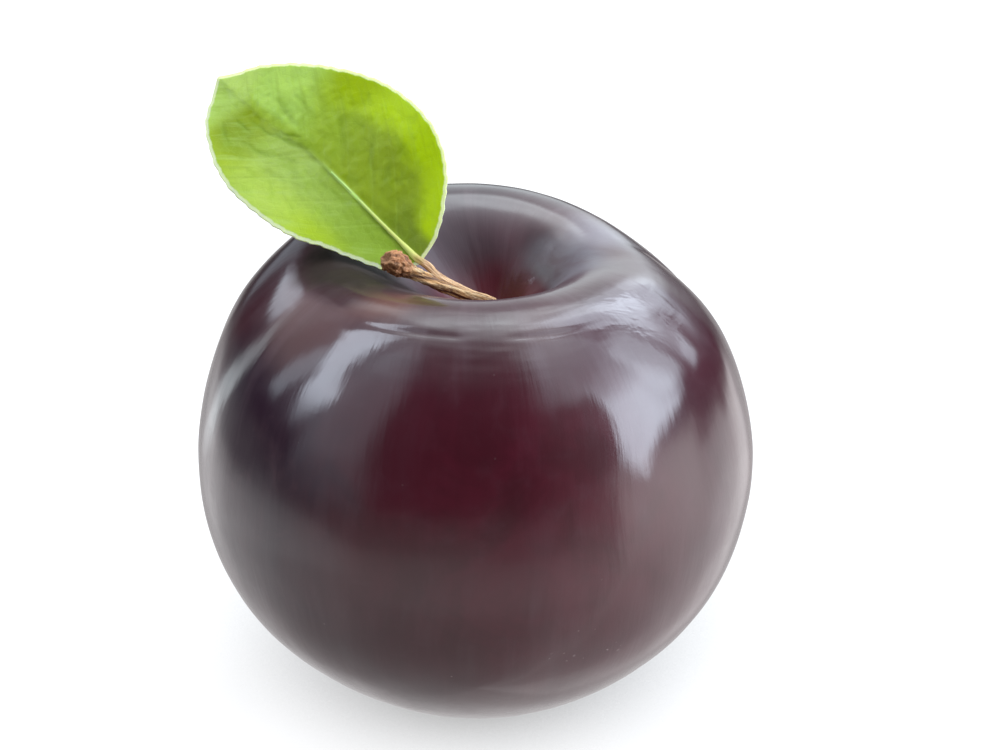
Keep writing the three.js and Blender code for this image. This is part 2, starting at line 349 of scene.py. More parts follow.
# suture: a faint furrow from the cavity towards the blossom end
wander = 0.05 * np.sin(6 * S2 + 0.4) + 0.02 * np.sin(17 * S2)
arc = wrap(PH - A - wander) * np.maximum(rho, 2.0)
reach = smooth(S2, 0.20, 0.32) * (1 - smooth(S2, 0.80, 0.95))
disp -= (0.16 * bell(arc, 1.1) + 0.10 * bell(arc, 3.4)) * reach
# puckers that run down the wall of the cavity, a little stronger at its foot
puck = fbm(polar(3.0, 16.0) + 0.3 * np.sin(9 * S2)[..., None], 3, seed=21)
fine = fbm(polar(9.0, 30.0), 2, seed=27)
disp += (0.020 * puck + 0.007 * fine) * smooth(S2, 0.004, 0.03) * (1 - smooth(S2, 0.09, 0.18))
# the right wall of the cavity leans out more gently
disp += 0.62 * bell(S2 - 0.146, 0.034) * bell(wrap(PH - math.radians(10)), 0.52)
# concentric wrinkles where the shoulder turns over
lip = bell(S2 - 0.245, 0.045) * (0.35 + 0.65 * bell(wrap(PH - math.radians(272)), 0.75))
rip = fbm(polar(2.6, 62.0), 3, seed=41)
disp += 0.045 * rip * lip
for at_, deep, wide, turn_, reach_, seed_ in ((0.254, 0.10, 0.0042, 270, 0.62, 43), (0.2635, 0.018, 0.0030, 268, 0.34, 44),
                                              (0.2725, 0.018, 0.0032, 277, 0.30, 45), (0.284, 0.012, 0.0036, 262, 0.30, 46),
                                              (0.297, 0.008, 0.0040, 280, 0.30, 47), (0.262, 0.020, 0.0045, 96, 0.6, 48)):
    disp -= deep * bell(S2 - at_ - 0.0035 * np.sin(3 * PH + at_ * 40), wide) \
        * smooth(0.8 * perlin(polar(2.6, 8.0), seed_) + 0.55, 0.12, 0.42) * smooth(bell(wrap(PH - math.radians(turn_)), reach_), 0.25, 0.75)
# crinkled scales on the right shoulder
scales = np.abs(fbm(np.stack([G[..., 0] / 6.4, G[..., 1] / 4.0, G[..., 2] / 4.6], -1), 2, seed=51, gain=0.3))
crink = bell(S2 - 0.245, 0.055) * bell(wrap(PH - math.radians(328)), 0.55)
disp += 0.045 * (np.minimum(scales, 0.30) - 0.15) * crink
G = G + N * disp[..., None]
G[..., 2] = np.maximum(G[..., 2], 0.0)

# the flat spot closes round a small sunken blossom scar
rings_in = np.array([5.6, 4.7, 3.8, 3.0, 2.4, 1.9, 1.5, 1.15, 0.85, 0.6, 0.38, 0.18])
zin = np.where(rings_in < 1.0, 0.55 - 0.22 * (1 - rings_in), 0.55 * bell(rings_in - 1.0, 0.75))
scar = 1 + 0.12 * np.sin(5 * phi_s[None, :] + 0.6) * bell(rings_in[:, None] - 1.0, 0.8)
I = np.stack([rings_in[:, None] * scar * np.cos(phi_s) + OFFSET[0],
              rings_in[:, None] * scar * np.sin(phi_s) + OFFSET[1], zin[:, None] * np.ones(NS)], -1)
allG = np.concatenate([G, I], 0)
nr = len(allG)
top = fruit_points(np.array([0.0]), np.array([0.0]))[0, 0]
verts = np.vstack([top[None], allG.reshape(-1, 3), [[OFFSET[0], OFFSET[1], 0.34]]])
idx = 1 + np.arange(nr * NS).reshape(nr, NS)
nx = np.roll(idx, -1, 1)
quads = np.stack([idx[:-1], idx[1:], nx[1:], nx[:-1]], -1).reshape(-1, 4)
last = len(verts) - 1
faces = [(0, int(a), int(b)) for a, b in zip(idx[0], nx[0])]
faces += quads.tolist()
faces += [(last, int(b), int(a)) for a, b in zip(idx[-1], nx[-1])]

s_all = np.r_[0.0, np.repeat(s_ring, NS), np.repeat(np.linspace(1.005, 1.06, len(rings_in)), NS), 1.065]
p_all = np.r_[0.0, np.tile(phi_s, nr), 0.0]
S_EQ = 0.5


def fruit_uv(me, loops):
    """Two round maps: the top half of the skin and the bottom half."""
    counts = np.zeros(len(me.polygons), np.int64)
    me.polygons.foreach_get("loop_total", counts)
    poly = np.repeat(np.arange(len(counts)), counts)
    s = s_all[loops]
    start = np.r_[0, np.cumsum(counts)[:-1]]
    mean = np.add.reduceat(s, start) / counts
    upper = (mean < S_EQ)[poly]
    ph = p_all[loops]
    r = np.where(upper, s / S_EQ, (1.065 - s) / (1.065 - S_EQ)) * 0.28
    cx = np.where(upper, 0.29, 0.71)
    cy = np.where(upper, 0.71, 0.29)
    sgn = np.where(upper, 1.0, -1.0)
    return np.stack([cx + r * np.cos(ph), cy + sgn * r * np.sin(ph)], -1)


fruit = make_object("plum_skin", verts, faces, uvs=fruit_uv,
                    attrs={"along": s_all, "turn": np.stack([np.cos(p_all), np.sin(p_all), s_all], 1)})

# ----------------------------------------------------------- fruit material
mat, n = material("plum_skin")
geo = n.new("ShaderNodeTexCoord").outputs["Object"]
turn = n.attr("turn", True)
big = n.noise(geo, 42.0, 3.0, 0.55, 0.6)
cloud = n.noise(geo, 95.0, 4.0, 0.58, 0.8)
mid = n.noise(geo, 330.0, 4.0, 0.6, 0.4)
# soft streaks that follow the meridians, bent a little so that none runs straight
bend = n.new("ShaderNodeTexNoise", inputs={"Vector": geo, "Scale": 70.0, "Detail": 1.0})
warp = n.new("ShaderNodeVectorMath", operation="MULTIPLY_ADD")
n.set(warp, 0, bend.outputs["Color"])
n.set(warp, 1, (0.10, 0.10, 0.04))
n.set(warp, 2, turn)
streak = n.noise(n.scale(warp.outputs[0], (11.0, 11.0, 6.0)), 1.0, 5.0, 0.6)
fine_streak = n.noise(n.scale(warp.outputs[0], (46.0, 46.0, 20.0)), 1.0, 3.0, 0.55)


def blob(centre, radius, soft, squash=(1.0, 1.0, 1.0), cloudy=0.016):
    """1 inside a round region of the skin, fading out over soft (metres)."""
    sc = n.new("ShaderNodeVectorMath", operation="SUBTRACT")
    n.set(sc, 0, geo)
    n.set(sc, 1, centre)
    d = n.new("ShaderNodeVectorMath", operation="LENGTH")
    n.set(d, 0, n.scale(sc.outputs[0], squash))
    dist = n.math("ADD", d.outputs["Value"], n.math("MULTIPLY", n.math("SUBTRACT", cloud, 0.5), cloudy))
    return n.math("SUBTRACT", 1.0, n.ramp(dist, radius - soft, radius + soft))


# wine-red cheeks: the front, the cavity and a smaller one behind
wine = n.math("MAXIMUM", blob((0.0045, -0.031, 0.037), 0.019, 0.009, (0.90, 1.0, 1.0)),
              blob((0.004, 0.004, 0.051), 0.010, 0.007))
wine = n.math("MAXIMUM", wine, n.math("MULTIPLY", blob((0.012, -0.024, 0.018), 0.014, 0.012), 0.55))
wine = n.math("MAXIMUM", wine, blob((-0.010, 0.030, 0.030), 0.014, 0.012))
wine = n.math("MAXIMUM", wine, n.math("MULTIPLY", blob((0.030, 0.010, 0.026), 0.012, 0.010), 0.7))
blush = n.math("MULTIPLY", wine, n.ramp(n.mixf(0.3, cloud, streak), 0.36, 0.66))
dusk = n.math("MAXIMUM", blob((-0.028, -0.018, 0.038), 0.014, 0.007), blob((0.018, 0.029, 0.040), 0.014, 0.008))
dusk = n.math("MAXIMUM", dusk, n.math("MULTIPLY", blob((-0.006, 0.012, 0.058), 0.012, 0.008), 0.6))
col = n.mix(n.ramp(big, 0.35, 0.65), (0.032, 0.0075, 0.013), (0.048, 0.0095, 0.016))
col = n.mix(n.math("MULTIPLY", wine, 0.8), col, (0.056, 0.0075, 0.013))
col = n.mix(n.math("MULTIPLY", blush, 0.8), col, (0.088, 0.011, 0.021))
col = n.mix(n.math("MULTIPLY", dusk, 0.75), col, (0.016, 0.008, 0.018))
col = n.mix(n.math("MULTIPLY", n.ramp(streak, 0.5, 0.75), 0.22), col, (0.060, 0.022, 0.030))
col = n.mix(n.math("MULTIPLY", n.ramp(mid, 0.52, 0.75), 0.20), col, (0.075, 0.026, 0.036))
# lenticels: small pale dots, crowded in patches on the lower half
cells = n.new("ShaderNodeTexVoronoi", feature="F1", inputs={"Vector": geo, "Scale": 420.0, "Randomness": 1.0})
size = n.new("ShaderNodeSeparateXYZ", inputs={0: cells.outputs["Color"]})
where = n.noise(geo, 150.0, 2.0, 0.5)
sz = n.new("ShaderNodeSeparateXYZ", inputs={0: geo})
lowness = n.math("SUBTRACT", 1.0, n.ramp(sz.outputs[2], 0.018, 0.048))
crowd = n.math("MULTIPLY", n.ramp(where, 0.46, 0.66), n.mixf(lowness, 0.35, 1.0))
pick = n.ramp(n.math("ADD", size.outputs[0], n.math("MULTIPLY", crowd, 0.42)), 0.88, 0.92)
pick = n.math("MULTIPLY", pick, n.mixf(lowness, 0.25, 1.0))
dot_r = n.math("MULTIPLY_ADD", size.outputs[1], 0.05, 0.035)
dot = n.math("MULTIPLY", n.math("SUBTRACT", 1.0, n.ramp(cells.outputs["Distance"], n.math("MULTIPLY", dot_r, 0.6), dot_r)), pick)
col = n.mix(n.math("MULTIPLY", dot, 0.34), col, (0.26, 0.18, 0.17))
# and close clusters of finer ones
fines = n.new("ShaderNodeTexVoronoi", feature="F1", inputs={"Vector": geo, "Scale": 1050.0, "Randomness": 1.0})
fsize = n.new("ShaderNodeSeparateXYZ", inputs={0: fines.outputs["Color"]})
flock = blob((-0.0040, -0.0293, 0.0183), 0.0012, 0.0010, (1.0, 1.0, 1.2), 0.003)
for at_, r_ in (((0.0096, -0.0291, 0.0210), 0.0013), ((0.0132, -0.0273, 0.0200), 0.0011), ((0.0156, -0.0265, 0.0209), 0.0012), ((0.0058, -0.0311, 0.0250), 0.0008),
                ((0.0215, 0.0165, 0.0105), 0.0018), ((-0.0190, 0.0185, 0.0110), 0.0018), ((0.0030, 0.0300, 0.0210), 0.0018)):
    flock = n.math("MAXIMUM", flock, blob(at_, r_, 0.0010, (1.0, 1.0, 1.2), 0.003))
fpick = n.math("MULTIPLY", n.ramp(n.math("ADD", fsize.outputs[0], n.math("MULTIPLY", flock, 0.55)), 0.97, 1.02), flock)
fdot = n.math("MULTIPLY", n.math("SUBTRACT", 1.0, n.ramp(fines.outputs["Distance"], 0.08, n.math("MULTIPLY_ADD", fsize.outputs[1], 0.14, 0.22))), fpick)
col = n.mix(n.math("MULTIPLY", fdot, 0.42), col, (0.36, 0.27, 0.27))
# a thin bloom lies in soft strokes along the meridians
brush = n.noise(n.scale(warp.outputs[0], (11.0, 11.0, 4.6)), 1.0, 2.0, 0.5)
bloom = n.math("MULTIPLY", n.ramp(brush, 0.44, 0.74), n.ramp(n.noise(geo, 60.0, 2.0, 0.5), 0.38, 0.62))
col = n.mix(n.math("MULTIPLY", bloom, 0.22), col, (0.105, 0.062, 0.074))
# a duller wax on the right wall of the cavity, with a grey colour painted there as the reflection of light on that wall
down_in = n.attr("along")
dull_wax_painted_sheen = n.math("MULTIPLY", blob((0.0106, 0.0018, 0.0537), 0.0062, 0.0026, cloudy=0.003),
              n.math("MULTIPLY", n.ramp(down_in, 0.092, 0.120), n.math("SUBTRACT", 1.0, n.ramp(down_in, 0.180, 0.215))))
dull = n.math("MAXIMUM", dull_wax_painted_sheen, blob((0.0084, 0.0053, 0.0533), 0.0030, 0.0018, cloudy=0.003))
# painted shade and painted reflection: two patches of skin under the leaf, left of the stalk, where the leaf's shadow
# and dark reflection fall; they are also made dull and rough
painted_leaf_shade = blob((-0.0136, -0.0050, 0.0575), 0.0060, 0.0022, (1.0, 0.9, 1.0), cloudy=0.006)
dull = n.math("MAXIMUM", dull, n.math("MULTIPLY", painted_leaf_shade, 1.05))
painted_leaf_shade2 = blob((-0.0090, -0.0078, 0.0567), 0.0048, 0.0024, (1.0, 0.9, 1.0), cloudy=0.004)
# painted shade: the walls at the back and on the left of the cavity are darkened, and made dull
wall = n.math("MAXIMUM", blob((-0.0026, 0.0080, 0.0545), 0.0040, 0.0028, cloudy=0.004),
              n.math("MAXIMUM", blob((0.0078, 0.0082, 0.0545), 0.0024, 0.0020, cloudy=0.003),
                     blob((-0.0060, -0.0008, 0.0529), 0.0028, 0.0022, cloudy=0.003)))
dull = n.math("MAXIMUM", dull, n.math("MULTIPLY", wall, 0.85))
dull = n.math("MAXIMUM", dull, n.math("MULTIPLY", painted_leaf_shade2, 1.0))
dull = n.math("MAXIMUM", dull, n.math("MULTIPLY", blob((0.001, -0.0145, 0.0575), 0.0075, 0.0040, (1.0, 1.9, 1.9), 0.003), 0.62))
well = n.math("SUBTRACT", 1.0, n.ramp(down_in, 0.145, 0.20))
col = n.mix(n.math("MULTIPLY", n.math("MULTIPLY", well, n.ramp(down_in, 0.06, 0.11)), 0.32), col, (0.092, 0.062, 0.072))
col = n.mix(n.math("MULTIPLY", n.math("SUBTRACT", 1.0, n.ramp(down_in, 0.045, 0.12)), 0.7), col, (0.110, 0.0075, 0.016))
# painted shade in the back and left walls of the cavity
col = n.mix(n.math("MULTIPLY", wall, 0.6), col, (0.030, 0.013, 0.017))
# painted highlight: a pale lilac-grey spot on the back of the cavity's right rim
col = n.mix(n.math("MULTIPLY", blob((0.0142, 0.0078, 0.0552), 0.0030, 0.0026, cloudy=0.004), 0.45), col, (0.30, 0.285, 0.32))
# painted reflection: the grey of the cavity's right wall stands in for light mirrored in it
col = n.mix(n.math("MULTIPLY", dull_wax_painted_sheen, n.mixf(n.ramp(mid, 0.30, 0.62), 0.55, 0.85)), col, (0.150, 0.136, 0.150))
# painted shadow and reflection of the leaf: a dark olive patch under the leaf
col = n.mix(n.math("MULTIPLY", n.math("MAXIMUM", painted_leaf_shade, n.math("MULTIPLY", painted_leaf_shade2, 0.75)), 0.8), col, (0.014, 0.012, 0.006))
# painted reflection: an orange-brown spot on the shoulder in front of the knob, where the knob mirrors in the skin
col = n.mix(n.math("MULTIPLY", blob((-0.0098, -0.0150, 0.0577), 0.0022, 0.0020, (0.7, 1.0, 1.0), 0.003), 0.45), col, (0.190, 0.070, 0.048))
bs = n.new("ShaderNodeBsdfPrincipled")
n.set(bs, "Base Color", col)
inside = n.math("SUBTRACT", 1.0, n.ramp(n.attr("along"), 0.135, 0.195))
gloss = n.math("ADD", n.mixf(n.ramp(mid, 0.35, 0.7), 0.29, 0.36),
               n.math("ADD", n.math("MULTIPLY", bloom, 0.035), n.math("MULTIPLY", inside, 0.12)))
n.set(bs, "Roughness", n.mixf(n.math("MAXIMUM", n.math("MULTIPLY", painted_leaf_shade, 0.9), n.math("MULTIPLY", painted_leaf_shade2, 0.9)), gloss, 0.95))
n.set(bs, "IOR", 1.29)
# the skin in the cavity is duller
n.set(bs, "Coat Weight", n.math("MULTIPLY", n.mixf(inside, 1.0, 0.42), n.math("MULTIPLY_ADD", dull, -0.86, 1.0)))
n.set(bs, "Coat Roughness", 0.085)
n.set(bs, "Coat IOR", 1.50)
hgt = n.math("ADD", n.math("MULTIPLY", mid, 0.34), n.math("MULTIPLY", fine_streak, 0.46))
# short oblique folds on the right shoulder
across = n.new("ShaderNodeVectorMath", operation="DOT_PRODUCT", inputs={0: geo, 1: (-430.0, 760.0, -300.0)}).outputs["Value"]
aslant = n.new("ShaderNodeVectorMath", operation="DOT_PRODUCT", inputs={0: geo, 1: (240.0, 130.0, 0.0)}).outputs["Value"]
folds = n.noise(n.new("ShaderNodeCombineXYZ", inputs={0: across, 1: aslant, 2: 0.0}).outputs[0], 1.0, 2.0, 0.5, 0.4)
folds = n.math("MULTIPLY", n.ramp(folds, 0.40, 0.66), blob((0.0172, -0.0130, 0.0553), 0.0042, 0.0030))
hgt = n.math("ADD", hgt, n.math("MULTIPLY", folds, 1.2))
tiles = n.new("ShaderNodeTexVoronoi", feature="F1", distance="CHEBYCHEV", inputs={"Vector": n.scale(warp.outputs[0], (5.6, 5.6, 22.0)), "Scale": 1.0, "Randomness": 0.9})
tiles = n.math("MULTIPLY", n.ramp(tiles.outputs["Distance"], 0.52, 0.30), blob((0.0192, -0.0085, 0.0550), 0.0036, 0.0022, cloudy=0.004))
hgt = n.math("ADD", hgt, n.math("MULTIPLY", tiles, 1.5))
hgt = n.math("ADD", hgt, n.math("MULTIPLY", n.math("MAXIMUM", dot, n.math("MULTIPLY", fdot, 2.4)), 0.5))
nrm = n.bump(hgt, 0.12, 0.0002)
n.set(bs, "Normal", nrm)
n.set(bs, "Coat Normal", nrm)
outn = n.new("ShaderNodeOutputMaterial")
n.set(outn, "Surface", bs.outputs[0])
fruit.data.materials.append(mat)
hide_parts("plum_fruit")
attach(fruit, "root")


# =====================================================================
# tubes with a shaped section: stalk and petiole
# =====================================================================
def frames_along(C):
    T = np.gradient(C, axis=0)
    T /= np.linalg.norm(T, axis=1, keepdims=True)
    U = np.zeros_like(C)
    u = np.cross(T[0], [0.0, 1.0, 0.0])
    U[0] = u / np.linalg.norm(u)
    for i in range(1, len(C)):
        u = U[i - 1] - (U[i - 1] @ T[i]) * T[i]
        U[i] = u / np.linalg.norm(u)
    return T, U, np.cross(T, U)


def tube(name, C, radius, sides):
    """radius(t, angle) in mm; returns verts, faces, t and angle per vertex."""
    T, U, V = frames_along(C)
    k = len(C)
    t = np.linspace(0, 1, k)[:, None] * np.ones(sides)
    a = (np.arange(sides) * 2 * np.pi / sides)[None, :] * np.ones((k, 1))
    r = radius(t, a)
    P = C[:, None] + r[..., None] * (np.cos(a)[..., None] * U[:, None] + np.sin(a)[..., None] * V[:, None])
    verts = np.vstack([P.reshape(-1, 3), C[:1], C[-1:]])
    idx = np.arange(k * sides).reshape(k, sides)
    nx = np.roll(idx, -1, 1)
    f = np.stack([idx[:-1], nx[:-1], nx[1:], idx[1:]], -1).reshape(-1, 4).tolist()
    f += [(k * sides, int(b), int(a_)) for a_, b in zip(idx[0], nx[0])]
    f += [(k * sides + 1, int(a_), int(b)) for a_, b in zip(idx[-1], nx[-1])]
    return verts, f, np.r_[t.ravel(), 0, 1], np.r_[a.ravel(), 0, 0], P, T


def cap_round(t, length, r_end):
    return t


C = centripetal(STALK_PATH + np.array([0.0, -0.05, -0.12]) * smooth(np.arange(11.0), 1, 5)[:, None]
                * (1 - smooth(np.arange(11.0), 6, 9))[:, None], 300)
tt = np.array([0, 0.03, 0.08, 0.2, 0.6, 0.76, 0.82, 0.865, 0.905, 0.95, 0.985, 1.0])
rr_ = np.array([1.25, 1.0, 0.80, 0.69, 0.68, 0.72, 0.94, 1.30, 1.40, 1.34, 1.12, 0.80])


def stalk_radius(t, a):
    r = np.interp(t, tt, rr_)
    k = np.ones(11) / 11
    r = np.apply_along_axis(lambda c: np.convolve(np.r_[np.repeat(c[0], 5), c, np.repeat(c[-1], 5)], k, "valid"), 0, r)
    knob = smooth(t, 0.79, 0.87)
    twist = a + 1.3 * t * np.pi + 0.35 * np.sin(9 * t)
    ribs = 1.5 * np.abs(np.cos(1.5 * twist)) - 1.0 + np.cos(7 * twist + 1.0) * 0.3
    P = np.stack([np.cos(a) * 1.6, np.sin(a) * 1.6, t * 11.0], -1)
    r = r * (1 + 0.17 * ribs * (1 - 0.75 * knob))
    r = r * (1 + 0.12 * fbm(P * np.array([1.6, 1.6, 1.2]), 4, seed=5))
    # rings of old bud scars
    r = r * (1 + 0.07 * bell(t - 0.33, 0.012) + 0.06 * bell(t - 0.52, 0.010) + 0.10 * bell(t - 0.735, 0.014))
    r = r * (1 + knob * (0.17 * fbm(P * np.array([1.4, 1.4, 2.4]), 4, seed=9) + 0.07 * np.cos(2 * a + 1.0)))
    r = r * (1 - 0.10 * knob * bell(np.abs(fbm(P * np.array([1.1, 1.1, 2.0]), 2, seed=15)), 0.07))
    return r


sv, sf, st, sa, SP, ST = tube("stalk", C, stalk_radius, 96)
# the cut end of the knob is hollowed a little, with a rough rim
nC = len(C)
end = ST[-1]
ringP = SP[-1]
inner, ist, isa = [], [], []
for k_, (f_, d_) in enumerate([(0.86, 0.10), (0.70, 0.05), (0.52, -0.10), (0.34, -0.16), (0.16, -0.12)]):
    j = fbm(np.stack([np.cos(sa[:96]) * (3 + k_), np.sin(sa[:96]) * (3 + k_), np.full(96, k_ * 1.7)], -1), 3, seed=19)
    inner.append(C[-1] + (ringP - C[-1]) * f_ + end * (d_ + 0.09 * j[:, None]))
    ist.append(np.full(96, 1.0 + 0.01 * (k_ + 1)))
    isa.append(sa[:96])
base_i = len(sv)
sv = np.vstack([sv[:-1], np.concatenate(inner), sv[-1:] - end * 0.12])
st = np.r_[st[:-1], np.concatenate(ist), 1.06]
sa = np.r_[sa[:-1], np.concatenate(isa), 0.0]
sf = [f for f in sf if (nC * 96 + 1) not in f]
rows = [np.arange((nC - 1) * 96, nC * 96)] + [base_i - 1 + np.arange(96) + 96 * k_ for k_ in range(5)]
for r0, r1 in zip(rows[:-1], rows[1:]):
    sf += np.stack([r0, np.roll(r0, -1), np.roll(r1, -1), r1], -1).tolist()
sf += [(len(sv) - 1, int(x), int(y)) for x, y in zip(rows[-1], np.roll(rows[-1], -1))]
# let the foot of the stalk go down into the floor of the cavity
low = np.clip((49.4 - sv[:, 2]) / 1.3, 0, 1)
sv[:, 2] -= 0.42 * low
stalk = make_object("stalk_bark", sv, sf,
                    uvs=np.stack([0.02 + 0.9 * st, 0.02 + 0.96 * np.abs(((sa / np.pi) % 2) - 1)], 1),
                    attrs={"along": st, "around": np.stack([np.cos(sa), np.sin(sa), st], 1),
                           "groove": 1 - np.abs(np.cos(1.5 * (sa + 1.3 * st * np.pi + 0.35 * np.sin(9 * st))))})
mat, n = material("stalk_bark")
around = n.attr("around", True)
along = n.attr("along")
geo = n.new("ShaderNodeTexCoord").outputs["Object"]
fib = n.noise(n.scale(around, (2.2, 2.2, 7.0)), 1.0, 5.0, 0.65, 0.4)
fib2 = n.noise(n.scale(around, (9.0, 9.0, 16.0)), 1.0, 4.0, 0.6, 0.3)
blot = n.noise(geo, 1300.0, 3.0, 0.6)
knob = n.ramp(along, 0.78, 0.86)
col = n.mix(n.ramp(fib, 0.38, 0.62), (0.15, 0.052, 0.012), (0.60, 0.300, 0.095))
col = n.mix(n.math("MULTIPLY", n.ramp(fib2, 0.50, 0.68), 0.75), col, (0.88, 0.58, 0.28))
col = n.mix(n.math("MULTIPLY", n.ramp(blot, 0.56, 0.70), 0.5), col, (0.10, 0.034, 0.016))
col = n.mix(n.math("MULTIPLY", n.ramp(n.math("ADD", n.attr("groove"), n.math("MULTIPLY", fib, 0.3)), 0.66, 0.98), 0.85), col, (0.085, 0.030, 0.012))
col = n.mix(n.math("MULTIPLY", n.ramp(n.math("ADD", n.attr("groove"), n.math("MULTIPLY", fib, 0.5)), 0.42, 0.24), 0.40), col, (0.90, 0.66, 0.36))
kcol = n.mix(n.ramp(blot, 0.42, 0.66), (0.40, 0.150, 0.052), (0.16, 0.050, 0.013))
kcol = n.mix(n.math("MULTIPLY", n.ramp(fib2, 0.52, 0.72), 0.6), kcol, (0.62, 0.36, 0.16))
col = n.mix(n.math("MULTIPLY", knob, 0.85), col, kcol)
col = n.mix(n.math("MULTIPLY", n.ramp(along, 1.0, 1.03), 0.55), col, (0.42, 0.22, 0.10))
bs = n.new("ShaderNodeBsdfPrincipled")
n.set(bs, "Base Color", col)
n.set(bs, "Roughness", n.mixf(fib, 0.45, 0.72))
n.set(bs, "Normal", n.bump(n.math("SUBTRACT", n.math("ADD", fib, n.math("MULTIPLY", fib2, 0.6)),
                                  n.math("MULTIPLY", n.ramp(blot, 0.52, 0.7), 0.35)), 0.7, 0.00022))
outn = n.new("ShaderNodeOutputMaterial")
n.set(outn, "Surface", bs.outputs[0])
stalk.data.materials.append(mat)
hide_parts("stalk")
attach(stalk, "root")


# =====================================================================
# leaf
# =====================================================================
def blade_rise(u, x):
    fold = np.where(x > 0, 0.62 * x * x / (np.abs(x) + 2), 0.16 * x * x / (3 + np.abs(x)))
    arch = -0.0042 * np.maximum(0, u - 6) ** 2
    wave = 0.25 * np.sin(0.5 * u + np.where(x > 0, 1.0, 2.6)) * np.minimum(1, np.abs(x) / 9) ** 2
    return fold + arch + wave


NA, NB = 230, 90
VEIN_GAP = 4.1


def toothed(edge, side, seed):
    """Outline with small forward-pointing teeth."""
    t = np.gradient(edge, axis=0)
    t /= np.linalg.norm(t, axis=1, keepdims=True)
    nrm = np.stack([-t[:, 1], t[:, 0]], 1) * side
    d = np.r_[0, np.cumsum(np.linalg.norm(np.diff(edge, axis=0), axis=1))]
    jit = perlin(np.stack([d * 0.35, d * 0 + seed, d * 0], -1), seed)
    ph = (d / 1.75 + 0.35 * jit) % 1.0
    tooth = np.where(ph < 0.72, ph / 0.72, (1 - ph) / 0.28)
    ends = smooth(d, 1.0, 4.0) * (1 - smooth(d, d[-1] - 3.0, d[-1] - 0.6))
    return edge + nrm * ((0.12 * (tooth - 0.4) + 0.10 * jit) * ends)[:, None]


mid_c = centripetal(np.c_[MIDRIB, np.zeros(len(MIDRIB))], NA + 1)[:, :2]
up_c = toothed(centripetal(np.c_[UPPER_EDGE, np.zeros(len(UPPER_EDGE))], NA + 1)[:, :2], -1, 61)
lo_c = toothed(centripetal(np.c_[LOWER_EDGE, np.zeros(len(LOWER_EDGE))], NA + 1)[:, :2], 1, 67)
b = np.linspace(-1, 1, 2 * NB + 1)
b = np.sign(b) * (1 - (1 - np.abs(b)) ** 1.0)
edge = np.where((b < 0)[None, :, None], up_c[:, None], lo_c[:, None])
UW = mid_c[:, None] + (edge - mid_c[:, None]) * np.abs(b)[None, :, None]
U_ = UW[..., 0]
xx = UW[..., 1] - mid_c[:, None, 1]
rise = blade_rise(U_, xx)
rimpts = np.vstack([up_c, lo_c])
edist = np.empty(U_.shape)
for i_ in range(len(U_)):
    edist[i_] = np.sqrt(((UW[i_][:, None] - rimpts[None]) ** 2).sum(-1).min(1))
# side veins leave the midrib forwards and bend towards the tip
wob = 0.30 * perlin(np.stack([U_ * 0.22, xx * 0.22, U_ * 0], -1), 71)
veinq = (U_ - 0.92 * np.abs(xx) - 0.030 * xx ** 2 + wob) / VEIN_GAP + np.where(xx < 0, 0.15, 0.62)
tv = np.abs((veinq + 0.5) % 1.0 - 0.5) * VEIN_GAP * 0.72
far_out = smooth(edist, 0.5, 3.0)
vein_on = bell(tv, 0.22) * far_out * smooth(np.abs(xx), 0.0, 0.6)
puff = (1 - bell(tv, 0.9)) * far_out * smooth(np.abs(xx), 0.1, 1.6)
crease = fbm(np.stack([U_ * 0.34, xx * 0.34, U_ * 0 + 3.3], -1), 3, seed=77)
midline = bell(xx, 0.42) * (1 - smooth(U_, 14, 30)) * smooth(U_, -0.6, 1.0)
relief_f = 0.014 * puff - 0.007 * vein_on - 0.11 * bell(xx, 0.9) * (1 - smooth(U_, 20, 32)) + 0.10 * bell(xx, 0.26) * (1 - smooth(U_, 12, 22))
relief_b = -0.08 * puff + 0.10 * vein_on + 0.34 * bell(xx, 0.45) * (1 - 0.75 * smooth(U_, 2, 32))
shape = (0.13 * crease + 0.05 * fbm(np.stack([U_ * 0.9, xx * 0.6, U_ * 0 + 1.3], -1), 2, seed=83)) * far_out


def wrinkle(p0, p1, wide):
    """1 on the line from p0 to p1 on the blade, fading over wide."""
    p0, p1 = np.array(p0), np.array(p1)
    dv = p1 - p0
    W2 = np.stack([U_, xx + 0.25 * perlin(np.stack([U_ * 0.8, xx * 0.8, U_ * 0], -1), 73)], -1)
    k = np.clip(((W2 - p0) @ dv) / (dv @ dv), 0, 1)
    dist = np.linalg.norm(W2 - (p0 + k[..., None] * dv), axis=-1)
    return bell(dist, wide) * np.sin(np.pi * np.clip(0.08 + 0.84 * k, 0, 1))


fold_lines = np.zeros_like(U_)
for p0, p1, wide, deep in (((27.6, 2.2), (25.2, 2.4), 0.30, 0.9), ((26.4, 1.2), (23.3, 1.2), 0.28, 0.7), ((24.2, 1.3), (18.0, -0.2), 0.34, 1.0),
                           ((25.8, -2.9), (21.8, -1.6), 0.42, 0.7), ((27.8, 4.4), (26.0, 5.2), 0.35, 0.6), ((22.5, 3.2), (18.5, 2.2), 0.4, 0.5),
                           ((12.5, -8.2), (8.0, -6.8), 0.5, 0.4), ((9.4, -3.4), (6.4, -6.2), 0.4, 0.4),
                           ((28.8, 3.2), (27.2, 4.6), 0.30, 0.8), ((25.6, 3.9), (21.0, 3.4), 0.32, 0.8), ((23.0, 0.5), (20.0, -0.9), 0.28, 0.8),
                           ((22.0, 5.4), (15.5, 3.6), 0.50, 0.5), ((17.0, 2.2), (10.5, 1.4), 0.45, 0.5), ((24.5, -4.6), (20.5, -3.4), 0.34, 0.5),
                           ((19.0, -6.0), (14.5, -2.4), 0.45, 0.5), ((14.0, -7.0), (11.0, -2.6), 0.40, 0.5), ((10.5, -6.4), (8.2, -2.0), 0.40, 0.4)):
    fold_lines += deep * wrinkle(p0, p1, wide)
shape -= 0.105 * fold_lines * far_out


def to3d(uw, c):
    return LEAF_BASE + uw[..., :1] * LEAF_ALONG + uw[..., 1:2] * LEAF_ACROSS + c[..., None] * LEAF_OUT


